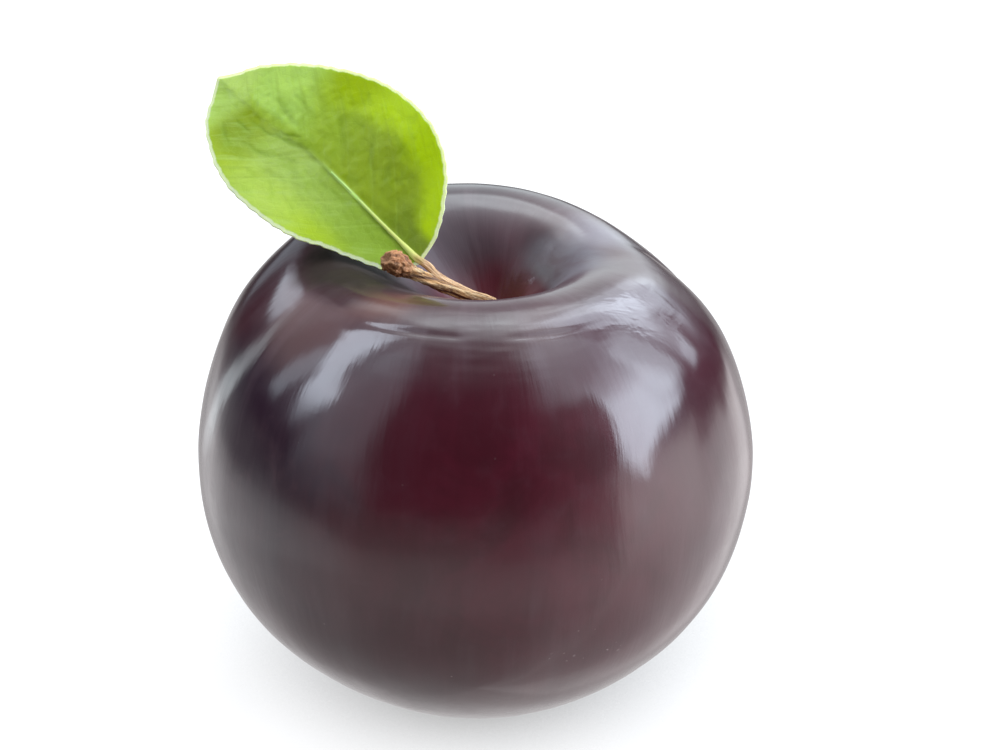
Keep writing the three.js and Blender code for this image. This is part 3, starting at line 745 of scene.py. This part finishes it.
MIDS = to3d(UW, rise + shape)
da, db = np.gradient(MIDS, axis=0), np.gradient(MIDS, axis=1)
LN = np.cross(db, da)
LN /= np.linalg.norm(LN, axis=-1, keepdims=True) + 1e-12
if (LN * LEAF_OUT).sum(-1).mean() < 0:
    LN = -LN
half = 0.15 * (0.45 + 0.55 * smooth(edist, 0.0, 0.5))
topS = MIDS + LN * (half + relief_f * smooth(edist, 0, 0.6))[..., None]
botS = MIDS - LN * (half + relief_b * smooth(edist, 0, 0.6))[..., None]
row = 2 * NB + 1
layer = (NA + 1) * row
lverts = np.vstack([topS.reshape(-1, 3), botS.reshape(-1, 3)])
ii = np.arange(layer).reshape(NA + 1, row)
q = lambda a_, b_, c_, d_: np.stack([a_, b_, c_, d_], -1).reshape(-1, 4)
f1 = q(ii[:-1, :-1], ii[:-1, 1:], ii[1:, 1:], ii[1:, :-1])
f2 = layer + q(ii[:-1, :-1], ii[1:, :-1], ii[1:, 1:], ii[:-1, 1:])
f3 = q(ii[:-1, 0], ii[1:, 0], layer + ii[1:, 0], layer + ii[:-1, 0])
f4 = q(ii[:-1, -1], layer + ii[:-1, -1], layer + ii[1:, -1], ii[1:, -1])
f5 = q(ii[0, :-1], layer + ii[0, :-1], layer + ii[0, 1:], ii[0, 1:])
f6 = q(ii[-1, :-1], ii[-1, 1:], layer + ii[-1, 1:], layer + ii[-1, :-1])
fa = np.vstack([f1, f2, f3, f4, f5, f6])
# which way round the faces must run for the front to look outwards
v0, v1, v2 = (lverts[fa[len(f1) // 2][k]] for k in (0, 1, 2))
if np.dot(np.cross(v1 - v0, v2 - v0), LEAF_OUT) < 0:
    fa = fa[:, ::-1]
luv = np.stack([0.02 + (U_ + 1.0) / 36.0 * 0.96, 0.25 + xx / 13.6 * 0.225], -1).reshape(-1, 2)
luv = np.vstack([luv, luv + np.array([0.0, 0.5])])
face_id = np.r_[np.zeros(layer), np.ones(layer)]
blade_at = np.tile(np.stack([U_, xx, edist], -1).reshape(-1, 3), (2, 1))
leaf = make_object("leaf_blade", lverts, fa.tolist(), uvs=luv,
                   attrs={"blade": blade_at, "back": face_id, "veinq": np.tile(veinq.reshape(-1), 2),
                          "folds": np.tile(fold_lines.reshape(-1), 2)})
mat, n = material("leaf_green")
bl = n.attr("blade", True)
sp = n.new("ShaderNodeSeparateXYZ", inputs={0: bl})
u, x, ed = sp.outputs[0], sp.outputs[1], sp.outputs[2]
back_f = n.attr("back")
vq = n.attr("veinq")
ax = n.math("ABSOLUTE", x)
flat = n.new("ShaderNodeCombineXYZ", inputs={0: u, 1: x, 2: 0.0}).outputs[0]
soft1 = n.noise(flat, 0.16, 2.0, 0.5, 0.5)
soft2 = n.noise(flat, 0.55, 3.0, 0.55, 0.3)
grain = n.noise(flat, 3.2, 4.0, 0.6)
tvn = n.math("MULTIPLY", n.math("PINGPONG", vq, 0.5), VEIN_GAP * 0.72)
vein = n.math("MULTIPLY", n.math("SUBTRACT", 1.0, n.ramp(tvn, 0.04, 0.26)), n.ramp(ed, 0.6, 2.6))
vein = n.math("MULTIPLY", vein, n.math("SUBTRACT", 1.0, n.math("MULTIPLY", n.ramp(soft2, 0.42, 0.62), 0.75)))
net = n.new("ShaderNodeTexVoronoi", feature="DISTANCE_TO_EDGE", voronoi_dimensions="2D",
            inputs={"Vector": flat, "Scale": 0.95, "Randomness": 1.0}).outputs["Distance"]
net2 = n.new("ShaderNodeTexVoronoi", feature="DISTANCE_TO_EDGE", voronoi_dimensions="2D",
             inputs={"Vector": flat, "Scale": 2.6, "Randomness": 1.0}).outputs["Distance"]
mesh1 = n.math("SUBTRACT", 1.0, n.ramp(net, 0.0, 0.10))
mesh2 = n.math("SUBTRACT", 1.0, n.ramp(net2, 0.0, 0.14))
midl = n.math("MULTIPLY", n.math("SUBTRACT", 1.0, n.ramp(ax, 0.10, 0.30)), n.math("SUBTRACT", 1.0, n.ramp(u, 11.5, 17.0)))

# soft strokes that run with the side veins
strokes = n.noise(n.new("ShaderNodeCombineXYZ", inputs={0: n.math("MULTIPLY", vq, 2.3), 1: n.math("MULTIPLY", x, 0.16), 2: 0.0}).outputs[0], 1.0, 3.0, 0.6, 0.3)
# colour zones of the face: the half above the midrib ...
upper = n.ramp(x, 0.35, -0.45)
# painted shade, partly the leaf's own deeper green: the upper half darkens near the leaf's base, by the stalk
base_shade_upper = n.math("MULTIPLY", n.ramp(u, 9.0, 2.0), n.ramp(ax, 6.5, 2.0))
cu = n.mix(n.ramp(u, 10.0, 22.0), (0.286, 0.372, 0.012), (0.350, 0.478, 0.030))
cu = n.mix(base_shade_upper, cu, (0.191, 0.258, 0.018))
band = n.math("MULTIPLY_ADD", soft1, 2.6, n.math("MULTIPLY", ed, -1.0))
band = n.math("SUBTRACT", band, n.math("MULTIPLY", n.ramp(u, 10.0, 4.0), 1.5))
band = n.math("MULTIPLY", n.ramp(band, -4.2, -1.2), n.math("SUBTRACT", 1.0, n.ramp(u, 21.5, 26.0)))
cu = n.mix(n.math("MULTIPLY", band, n.math("MAXIMUM", n.ramp(u, 4.0, 8.0), n.ramp(ax, 1.6, 3.2))), cu,
           n.mix(n.ramp(u, 13.5, 19.0), (0.470, 0.630, 0.000), (0.400, 0.525, 0.000)))
pale = n.math("MULTIPLY", n.ramp(n.math("ADD", u, n.math("MULTIPLY", x, 0.35)), 18.0, 22.5), n.ramp(x, -0.4, -1.6))
cu = n.mix(n.math("MULTIPLY", pale, 0.9), cu, (0.464, 0.654, 0.118))
# ... and the half below it
cl = n.mix(n.ramp(u, 6.0, 20.0), (0.196, 0.292, 0.016), (0.290, 0.385, 0.066))
warm = n.math("MULTIPLY", n.ramp(x, 3.2, 6.6), n.ramp(u, 3.0, 10.0))
cl = n.mix(n.math("MULTIPLY", warm, 0.9), cl, n.mix(n.ramp(u, 11.0, 18.0), (0.300, 0.402, 0.000), (0.338, 0.440, 0.050)))
cl = n.mix(n.ramp(u, 21.5, 26.0), cl, (0.258, 0.342, 0.000))
col = n.mix(upper, cl, cu)
# pale tip and a deep green patch before it
dd = n.new("ShaderNodeVectorMath", operation="DISTANCE", inputs={0: n.scale(flat, (1.0, 1.15, 1.0)), 1: (26.4, 4.0, 0.0)})
patch_g = n.math("SUBTRACT", 1.0, n.ramp(dd.outputs["Value"], 1.0, 4.8))
col = n.mix(n.math("MULTIPLY", patch_g, 0.85), col, (0.160, 0.222, 0.000))
tipw = n.math("MULTIPLY", n.ramp(n.math("SUBTRACT", u, n.math("MULTIPLY", ax, 0.35)), 26.5, 29.5), 0.9)
col = n.mix(tipw, col, n.mix(upper, (0.348, 0.480, 0.101), (0.499, 0.648, 0.146)))
col = n.mix(n.math("MULTIPLY", n.ramp(strokes, 0.48, 0.72), n.mixf(upper, 0.52, 0.30)), col, n.mix(upper, (0.215, 0.300, 0.022), (0.245, 0.336, 0.011)))
col = n.mix(n.math("MULTIPLY", n.ramp(strokes, 0.48, 0.28), n.mixf(upper, 0.55, 0.25)), col, n.mix(upper, (0.319, 0.432, 0.095), (0.418, 0.564, 0.056)))
col = n.mix(n.math("MULTIPLY", n.ramp(soft2, 0.48, 0.68), n.mixf(upper, 0.32, 0.16)), col, (0.215, 0.325, 0.016))
# painted shade: darker green along the fold lines of the blade
col = n.mix(n.math("MULTIPLY", n.attr("folds"), 0.62), col, (0.151, 0.240, 0.007))
col = n.mix(n.math("MULTIPLY", n.math("ADD", n.math("MULTIPLY", mesh1, 0.6), n.math("MULTIPLY", mesh2, 0.4)), 0.05), col, (0.534, 0.720, 0.179))
col = n.mix(n.math("MULTIPLY", n.ramp(grain, 0.5, 0.75), 0.10), col, (0.209, 0.336, 0.017))
col = n.mix(n.math("MULTIPLY", vein, 0.06), col, (0.534, 0.720, 0.168))
col = n.mix(n.math("MULTIPLY", midl, 0.85), col, (0.580, 0.816, 0.224))
# the back is paler and greyer, its veins stand out more
bcol = n.mix(n.ramp(soft2, 0.35, 0.65), (0.30, 0.45, 0.14), (0.36, 0.50, 0.18))
bcol = n.mix(n.math("MULTIPLY", n.math("ADD", vein, n.math("MULTIPLY", mesh1, 0.35), clamp=True), 0.6), bcol, (0.54, 0.66, 0.34))
bcol = n.mix(n.math("MULTIPLY", midl, 0.9), bcol, (0.60, 0.70, 0.38))
col = n.mix(back_f, col, bcol)
rimm = n.math("SUBTRACT", 1.0, n.ramp(n.math("ADD", ed, n.math("MULTIPLY", n.math("SUBTRACT", grain, 0.5), 0.20)), 0.26, 0.46))
col = n.mix(n.math("MULTIPLY", rimm, 0.92), col, n.mix(upper, (0.56, 0.60, 0.36), (0.80, 0.86, 0.46)))
bs = n.new("ShaderNodeBsdfPrincipled")
n.set(bs, "Base Color", col)
n.set(bs, "Roughness", n.mixf(back_f, 0.44, 0.60))
n.set(bs, "IOR", 1.24)
n.set(bs, "Subsurface Weight", 0.45)
n.set(bs, "Subsurface Radius", (0.9, 1.0, 0.12))
n.set(bs, "Subsurface Scale", 0.0007)
hgt = n.math("ADD", n.math("MULTIPLY", vein, -0.15), n.math("MULTIPLY", mesh1, -0.10))
hgt = n.math("ADD", hgt, n.math("MULTIPLY", mesh2, -0.06))
hgt = n.math("ADD", hgt, n.math("ADD", n.math("MULTIPLY", grain, 0.22), n.math("MULTIPLY", strokes, 0.9)))
n.set(bs, "Normal", n.bump(hgt, 0.5, 0.00010))
outn = n.new("ShaderNodeOutputMaterial")
n.set(outn, "Surface", bs.outputs[0])
leaf.data.materials.append(mat)
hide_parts("leaf")
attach(leaf, "root")

# petiole: leaves the foot of the stalk, lies against it and runs on as the midrib
pp = PETIOLE_PATH.copy()
pp += np.array([-0.16, -0.62, -0.84]) * (smooth(np.arange(8.0), -0.5, 1.5) * (1 - smooth(np.arange(8.0), 4, 7)))[:, None]
foot_p = np.array([[1.95, 0.35, 49.1], [2.35, 0.65, 50.0]])
on_mid = [4, 12, 24, 40, 60, 84, 104]
tail = MIDS[on_mid, NB] + LN[on_mid, NB] * 0.10
PC = centripetal(np.vstack([foot_p, pp[1:], tail]), 320)
join = 0.52


def petiole_radius(t, a):
    r = np.interp(t, [0, 0.05, 0.35, 0.46, 0.52, 0.60, 0.75, 1.0], [0.56, 0.46, 0.43, 0.43, 0.36, 0.23, 0.17, 0.08])
    P = np.stack([np.cos(a) * 1.2, np.sin(a) * 1.2, t * 16.0], -1)
    bark = 1 - smooth(t, 0.46, 0.56)
    twist = a + 2.0 * t * np.pi
    return r * (1 + bark * (0.10 * np.cos(3 * twist) + 0.12 * fbm(P * np.array([1.6, 1.6, 1.3]), 3, seed=81)) + 0.02 * np.cos(2 * a))


pv, pf, pt, pa, _, _ = tube("petiole", PC, petiole_radius, 48)
petiole = make_object("petiole_green", pv, pf,
                      uvs=np.stack([0.02 + 0.96 * pt, 0.02 + 0.96 * np.abs(((pa / np.pi) % 2) - 1)], 1),
                      attrs={"along": pt, "around": np.stack([np.cos(pa), np.sin(pa), pt], 1)})
mat, n = material("petiole_green")
around = n.attr("around", True)
along = n.attr("along")
geo = n.new("ShaderNodeTexCoord").outputs["Object"]
fib = n.noise(n.scale(around, (2.4, 2.4, 12.0)), 1.0, 5.0, 0.65, 0.4)
fib2 = n.noise(n.scale(around, (7.0, 7.0, 26.0)), 1.0, 4.0, 0.6)
blot = n.noise(geo, 1200.0, 3.0, 0.6)
col = n.mix(n.ramp(fib, 0.36, 0.60), (0.30, 0.13, 0.040), (0.66, 0.38, 0.17))
col = n.mix(n.math("MULTIPLY", n.ramp(fib2, 0.46, 0.66), 0.75), col, (0.92, 0.62, 0.36))
col = n.mix(n.math("MULTIPLY", n.ramp(blot, 0.60, 0.72), 0.5), col, (0.20, 0.075, 0.025))
col = n.mix(n.ramp(n.math("ADD", along, n.math("MULTIPLY", n.math("SUBTRACT", fib, 0.5), 0.08)), 0.445, 0.53), col, (0.62, 0.66, 0.16))
col = n.mix(n.ramp(along, 0.62, 1.0), col, (0.50, 0.70, 0.20))
bs = n.new("ShaderNodeBsdfPrincipled")
n.set(bs, "Base Color", col)
n.set(bs, "Roughness", n.mixf(fib, 0.40, 0.62))
n.set(bs, "Normal", n.bump(n.math("ADD", fib, n.math("MULTIPLY", fib2, 0.5)), n.mixf(n.ramp(along, 0.42, 0.54), 0.6, 0.12), 0.0002))
outn = n.new("ShaderNodeOutputMaterial")
n.set(outn, "Surface", bs.outputs[0])
petiole.data.materials.append(mat)
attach(petiole, "root")


# =====================================================================
# stage, light and camera
# =====================================================================
def table_sheet(name, rim, z):
    me = bpy.data.meshes.new(name)
    me.from_pydata([(x, y, z) for x, y in rim], [], [tuple(range(len(rim)))])
    ob = bpy.data.objects.new(name, me)
    bpy.context.scene.collection.objects.link(ob)
    return ob


# floor and sweep as the camera sees them: pale by a glow of their own, with a painted soft shadow where an ambient
# occlusion term dims that glow near the plum; a small diffuse part is lit from above and from behind
m, n = material("pale_paper")
d = n.new("ShaderNodeBsdfDiffuse", inputs={"Color": (0.15, 0.15, 0.152)})
# painted shadow: ambient occlusion near the plum dims the floor's glow
near = n.new("ShaderNodeAmbientOcclusion", inputs={"Color": (1.0, 1.0, 1.0), "Distance": 0.040,
                                                   "Normal": n.new("ShaderNodeCombineXYZ", inputs={0: 0.0, 1: -0.72, 2: 0.694}).outputs[0]})
near.samples = 8
e = n.new("ShaderNodeEmission", inputs={"Color": (1.0, 1.0, 1.0), "Strength": n.mixf(n.ramp(near.outputs["AO"], 0.30, 0.84), 0.38, 0.94)})
s_ = n.new("ShaderNodeAddShader")
n.t.links.new(d.outputs[0], s_.inputs[0])
n.t.links.new(e.outputs[0], s_.inputs[1])
o = n.new("ShaderNodeOutputMaterial", inputs={"Surface": s_.outputs[0]})
prof = [(0.0, 0.0), (1.2, 0.0)] + [(1.2 + 1.2 * math.sin(a), 1.2 * (1 - math.cos(a)))
                                   for a in np.linspace(0.05, math.pi / 2, 24)] + [(2.4, 4.0)]
sv_, sf_ = [], []
for r_, z_ in prof:
    for i in range(96):
        a = 2 * math.pi * i / 96
        sv_.append((r_ * math.cos(a), r_ * math.sin(a), z_ - 0.0001))
for k in range(len(prof) - 1):
    for i in range(96):
        j = (i + 1) % 96
        sf_.append((k * 96 + i, k * 96 + j, (k + 1) * 96 + j, (k + 1) * 96 + i))
me = bpy.data.meshes.new("paper_sweep")
me.from_pydata(sv_, [], sf_)
me.validate()
sweep = bpy.data.objects.new("paper_sweep", me)
bpy.context.scene.collection.objects.link(sweep)
for p in me.polygons:
    p.use_smooth = True
me.materials.append(m)
for flag in ("visible_diffuse", "visible_glossy", "visible_transmission", "visible_volume_scatter", "visible_shadow"):
    setattr(sweep, flag, False)

# studio light: soft boxes round the plum, laid out by direction. Azimuth 0 is
# the camera's side (-Y), 90 the right (+X); elevation is above the horizon.
world = bpy.data.worlds.new("studio")
bpy.context.scene.world = world
world.use_nodes = True
n = Nodes(world.node_tree)
way = n.new("ShaderNodeVectorMath", operation="NORMALIZE", inputs={0: n.new("ShaderNodeTexCoord").outputs["Generated"]})
w = n.new("ShaderNodeSeparateXYZ", inputs={0: way.outputs[0]})
Z = n.math("MULTIPLY", n.math("ARCTAN2", w.outputs[0], n.math("MULTIPLY", w.outputs[1], -1.0)), 57.29578)
A = n.math("FLOORED_MODULO", Z, 360.0)
EL = n.math("MULTIPLY", n.math("ARCSINE", w.outputs[2]), 57.29578)
aZ = n.math("ABSOLUTE", Z)


def up(v, lo, hi):
    return n.ramp(v, lo, hi)


def down(v, lo, hi):
    return n.math("SUBTRACT", 1.0, n.ramp(v, lo, hi))


def times(*t):
    r = t[0]
    for k in t[1:]:
        r = n.math("MULTIPLY", r, k)
    return r


def plus(*t):
    r = t[0]
    for k in t[1:]:
        r = n.math("ADD", r, k)
    return r


def sub(a, b):
    return n.math("SUBTRACT", a, b)


def window(a, b, c, d):
    return [(a, 0.0), (b, 1.0), (c, 1.0), (d, 0.0)]


def charts(x, lo, hi, tables):
    """Up to three soft profiles of x, in the three channels of one curve node."""
    node = n.new("ShaderNodeRGBCurve")
    n.set(node, "Color", n.math("MULTIPLY_ADD", x, 1.0 / (hi - lo), -lo / (hi - lo)))
    for k in range(3):
        pts = tables[k] if k < len(tables) else [(lo, 0.0)]
        pts = [((px - lo) / (hi - lo), py) for px, py in pts]
        if pts[0][0] > 0:
            pts = [(0.0, pts[0][1])] + pts
        if pts[-1][0] < 1:
            pts = pts + [(1.0, pts[-1][1])]
        cv = node.mapping.curves[k]
        cv.points[0].location = pts[0]
        cv.points[1].location = pts[-1]
        for q_ in pts[1:-1]:
            cv.points.new(*q_)
        for q_ in cv.points:
            q_.handle_type = "AUTO_CLAMPED"
    node.mapping.update()
    return node.outputs[0]


def lamps(*rows):
    """Sum of up to three soft boxes, each (azimuth profile, elevation profile, strength)."""
    az = charts(A, 0.0, 360.0, [r[0] for r in rows])
    el = charts(EL, -90.0, 90.0, [r[1] for r in rows])
    both = n.new("ShaderNodeVectorMath", operation="MULTIPLY", inputs={0: az, 1: el}).outputs[0]
    power = tuple(r[2] for r in rows) + (0.0,) * (3 - len(rows))
    return n.new("ShaderNodeVectorMath", operation="DOT_PRODUCT", inputs={0: both, 1: power}).outputs["Value"]


# right soft box, its lower edge rising towards the back
low_r = n.math("MULTIPLY_ADD", n.math("ABSOLUTE", sub(A, 68.0)), 0.34, -2.0)
right = times(up(A, 58.5, 65.5), down(A, 87, 109), up(sub(EL, low_r), -3.0, 3.0), down(EL, 26, 48), 9.1)
# left strip, curving back as it rises
above = n.math("MAXIMUM", n.math("SUBTRACT", EL, 32.0), 0.0)
off_l = plus(Z, 82.0, n.math("MULTIPLY", above, 0.84))
half_l = n.math("MINIMUM", n.math("MULTIPLY_ADD", EL, 0.30, -0.2), 14.3)
strip = times(up(n.math("ADD", off_l, half_l), -4.0, 3.0), down(n.math("SUBTRACT", off_l, half_l), -5.0, 4.0),
              up(EL, 4, 33), down(EL, 56, 72), 7.4)
# narrow strip far round on the left
rise_s = n.math("ADD", EL, -9.0)
bend_s = n.math("MULTIPLY_ADD", n.math("GREATER_THAN", rise_s, 0.0), 0.0085, 0.0185)
off_s = n.math("ABSOLUTE", plus(Z, 124.0, n.math("MULTIPLY", n.math("MULTIPLY", rise_s, rise_s), bend_s)))
strip2 = times(down(off_s, 1.0, 4.6), up(EL, -27, -15), down(EL, 14, 32), 1.6)
# overhead, brightest towards the back
lean = n.new("ShaderNodeVectorMath", operation="DOT_PRODUCT", inputs={0: way.outputs[0], 1: (0.4226, 0.906, 0.0)}).outputs["Value"]
cap = times(up(EL, 50, 74), n.math("MULTIPLY_ADD", n.ramp(lean, -0.35, 0.40), 2.7, 0.40))
# boxes behind the right shoulder
neutral = lamps((window(150, 172, 198, 230), window(34, 50, 64, 80), 2.3),
                (window(134, 150, 168, 186), window(34, 52, 66, 78), 2.3))
neutral = plus(neutral, lamps((window(150, 164, 182, 193), window(-16, 6, 36, 56), 1.15)))
cool = lamps((window(111, 125, 144, 160), window(18, 36, 58, 72), 4.5))
# softer fills, a pale patch and a second faint strip on the left
soft = lamps((window(112, 126, 138, 152), window(6, 24, 36, 54), 2.4),
             (window(134, 148, 158, 170), window(-4, 12, 36, 54), 2.1),
             (window(90, 101, 110, 118), window(10, 21, 38, 50), 4.1))
soft = plus(soft, lamps((window(252, 257, 263, 267), window(8, 18, 34, 44), 2.0),
                        (window(212, 224, 232, 246), window(20, 34, 60, 75), 0.4),
                        (window(278, 290, 304, 326), window(-12, 12, 60, 74), 1.0)))
soft = plus(soft, lamps((window(262, 270, 285, 320), window(44, 54, 66, 80), 0.8),
                        (window(24, 60, 98, 118), window(34, 46, 62, 76), 1.9),
                        (window(211, 218, 224, 231), window(12, 17, 21, 27), 2.6)),
            lamps((window(191, 198, 207, 214), window(-10, -2, 15, 24), 0.40),
                  (window(118, 124, 129, 135), window(4, 9, 13, 19), 2.7)))
neutral = plus(neutral, cap, strip2)
warm_l = lamps((window(210, 230, 246, 264), window(10, 30, 42, 56), 1.0))
# pale table all round, fading with distance
table = lamps(([(48, 1.0), (66, 0.0), (282, 0.0), (326, 1.0)], [(-60, 0.60), (-48, 0.70), (-34, 0.92), (-26, 0.88), (-14, 0.52), (-4, 0.22), (5, 0.0)], 0.84),
              (window(202, 220, 282, 326), [(-60, 0.50), (-48, 0.60), (-36, 0.76), (-25, 1.0), (-18, 0.84), (-12, 0.34), (-6, 0.12), (6, 0.0)], 1.06),
              (window(140, 158, 202, 220), [(-50, 1.0), (-38, 0.92), (-27, 0.84), (-18, 0.62), (-6, 0.0)], 0.62))
table = plus(table, lamps((window(48, 66, 90, 110), [(-60, 0.30), (-48, 0.40), (-32, 0.60), (-16, 0.90), (-7, 1.0), (5, 0.0)], 2.35),
                          (window(90, 110, 118, 130), [(-60, 0.55), (-48, 0.64), (-32, 0.80), (-24, 0.92), (-15, 0.90), (-8, 0.30), (2, 0.0)], 1.6),
                          (window(118, 130, 140, 158), [(-60, 0.55), (-48, 0.64), (-32, 0.80), (-24, 0.92), (-17, 0.90), (-12, 0.30), (-7, 0.0)], 1.6)),
             lamps((window(14, 50, 60, 66), [(-90, 1.0)], 0.18)))


def tinted(colour, strength):
    node = n.new("ShaderNodeVectorMath", operation="SCALE", inputs={0: colour})
    n.set(node, "Scale", strength)
    return node.outputs[0]


def vadd(a, b):
    return n.new("ShaderNodeVectorMath", operation="ADD", inputs={0: a, 1: b}).outputs[0]


light = vadd(vadd(tinted((0.835, 0.935, 1.075), plus(cool, right, strip)), tinted((0.85, 0.97, 1.10), soft)),
             vadd(tinted((1.005, 0.975, 0.985), table), tinted((1.0, 0.72, 0.68), warm_l)))
light = vadd(light, tinted((0.895, 0.995, 1.030), neutral))
bg = n.new("ShaderNodeBackground", inputs={"Color": light, "Strength": 1.0})
n.new("ShaderNodeOutputWorld", inputs={"Surface": bg.outputs[0]})
world.cycles.sampling_method = "MANUAL"
world.cycles.sample_map_resolution = 512

cam_data = bpy.data.cameras.new("camera")
cam = bpy.data.objects.new("camera", cam_data)
bpy.context.scene.collection.objects.link(cam)
cam.location = (0.002891, -0.309482, 0.205748)
cam.rotation_euler = (math.radians(90 - 28.0), 0, 0)
cam_data.lens = 108.0
cam_data.sensor_width = 36.0
cam_data.clip_start = 0.01
cam_data.clip_end = 20
bpy.context.scene.camera = cam
bpy.context.scene.view_settings.view_transform = "Standard"
bpy.context.scene.view_settings.look = "None"
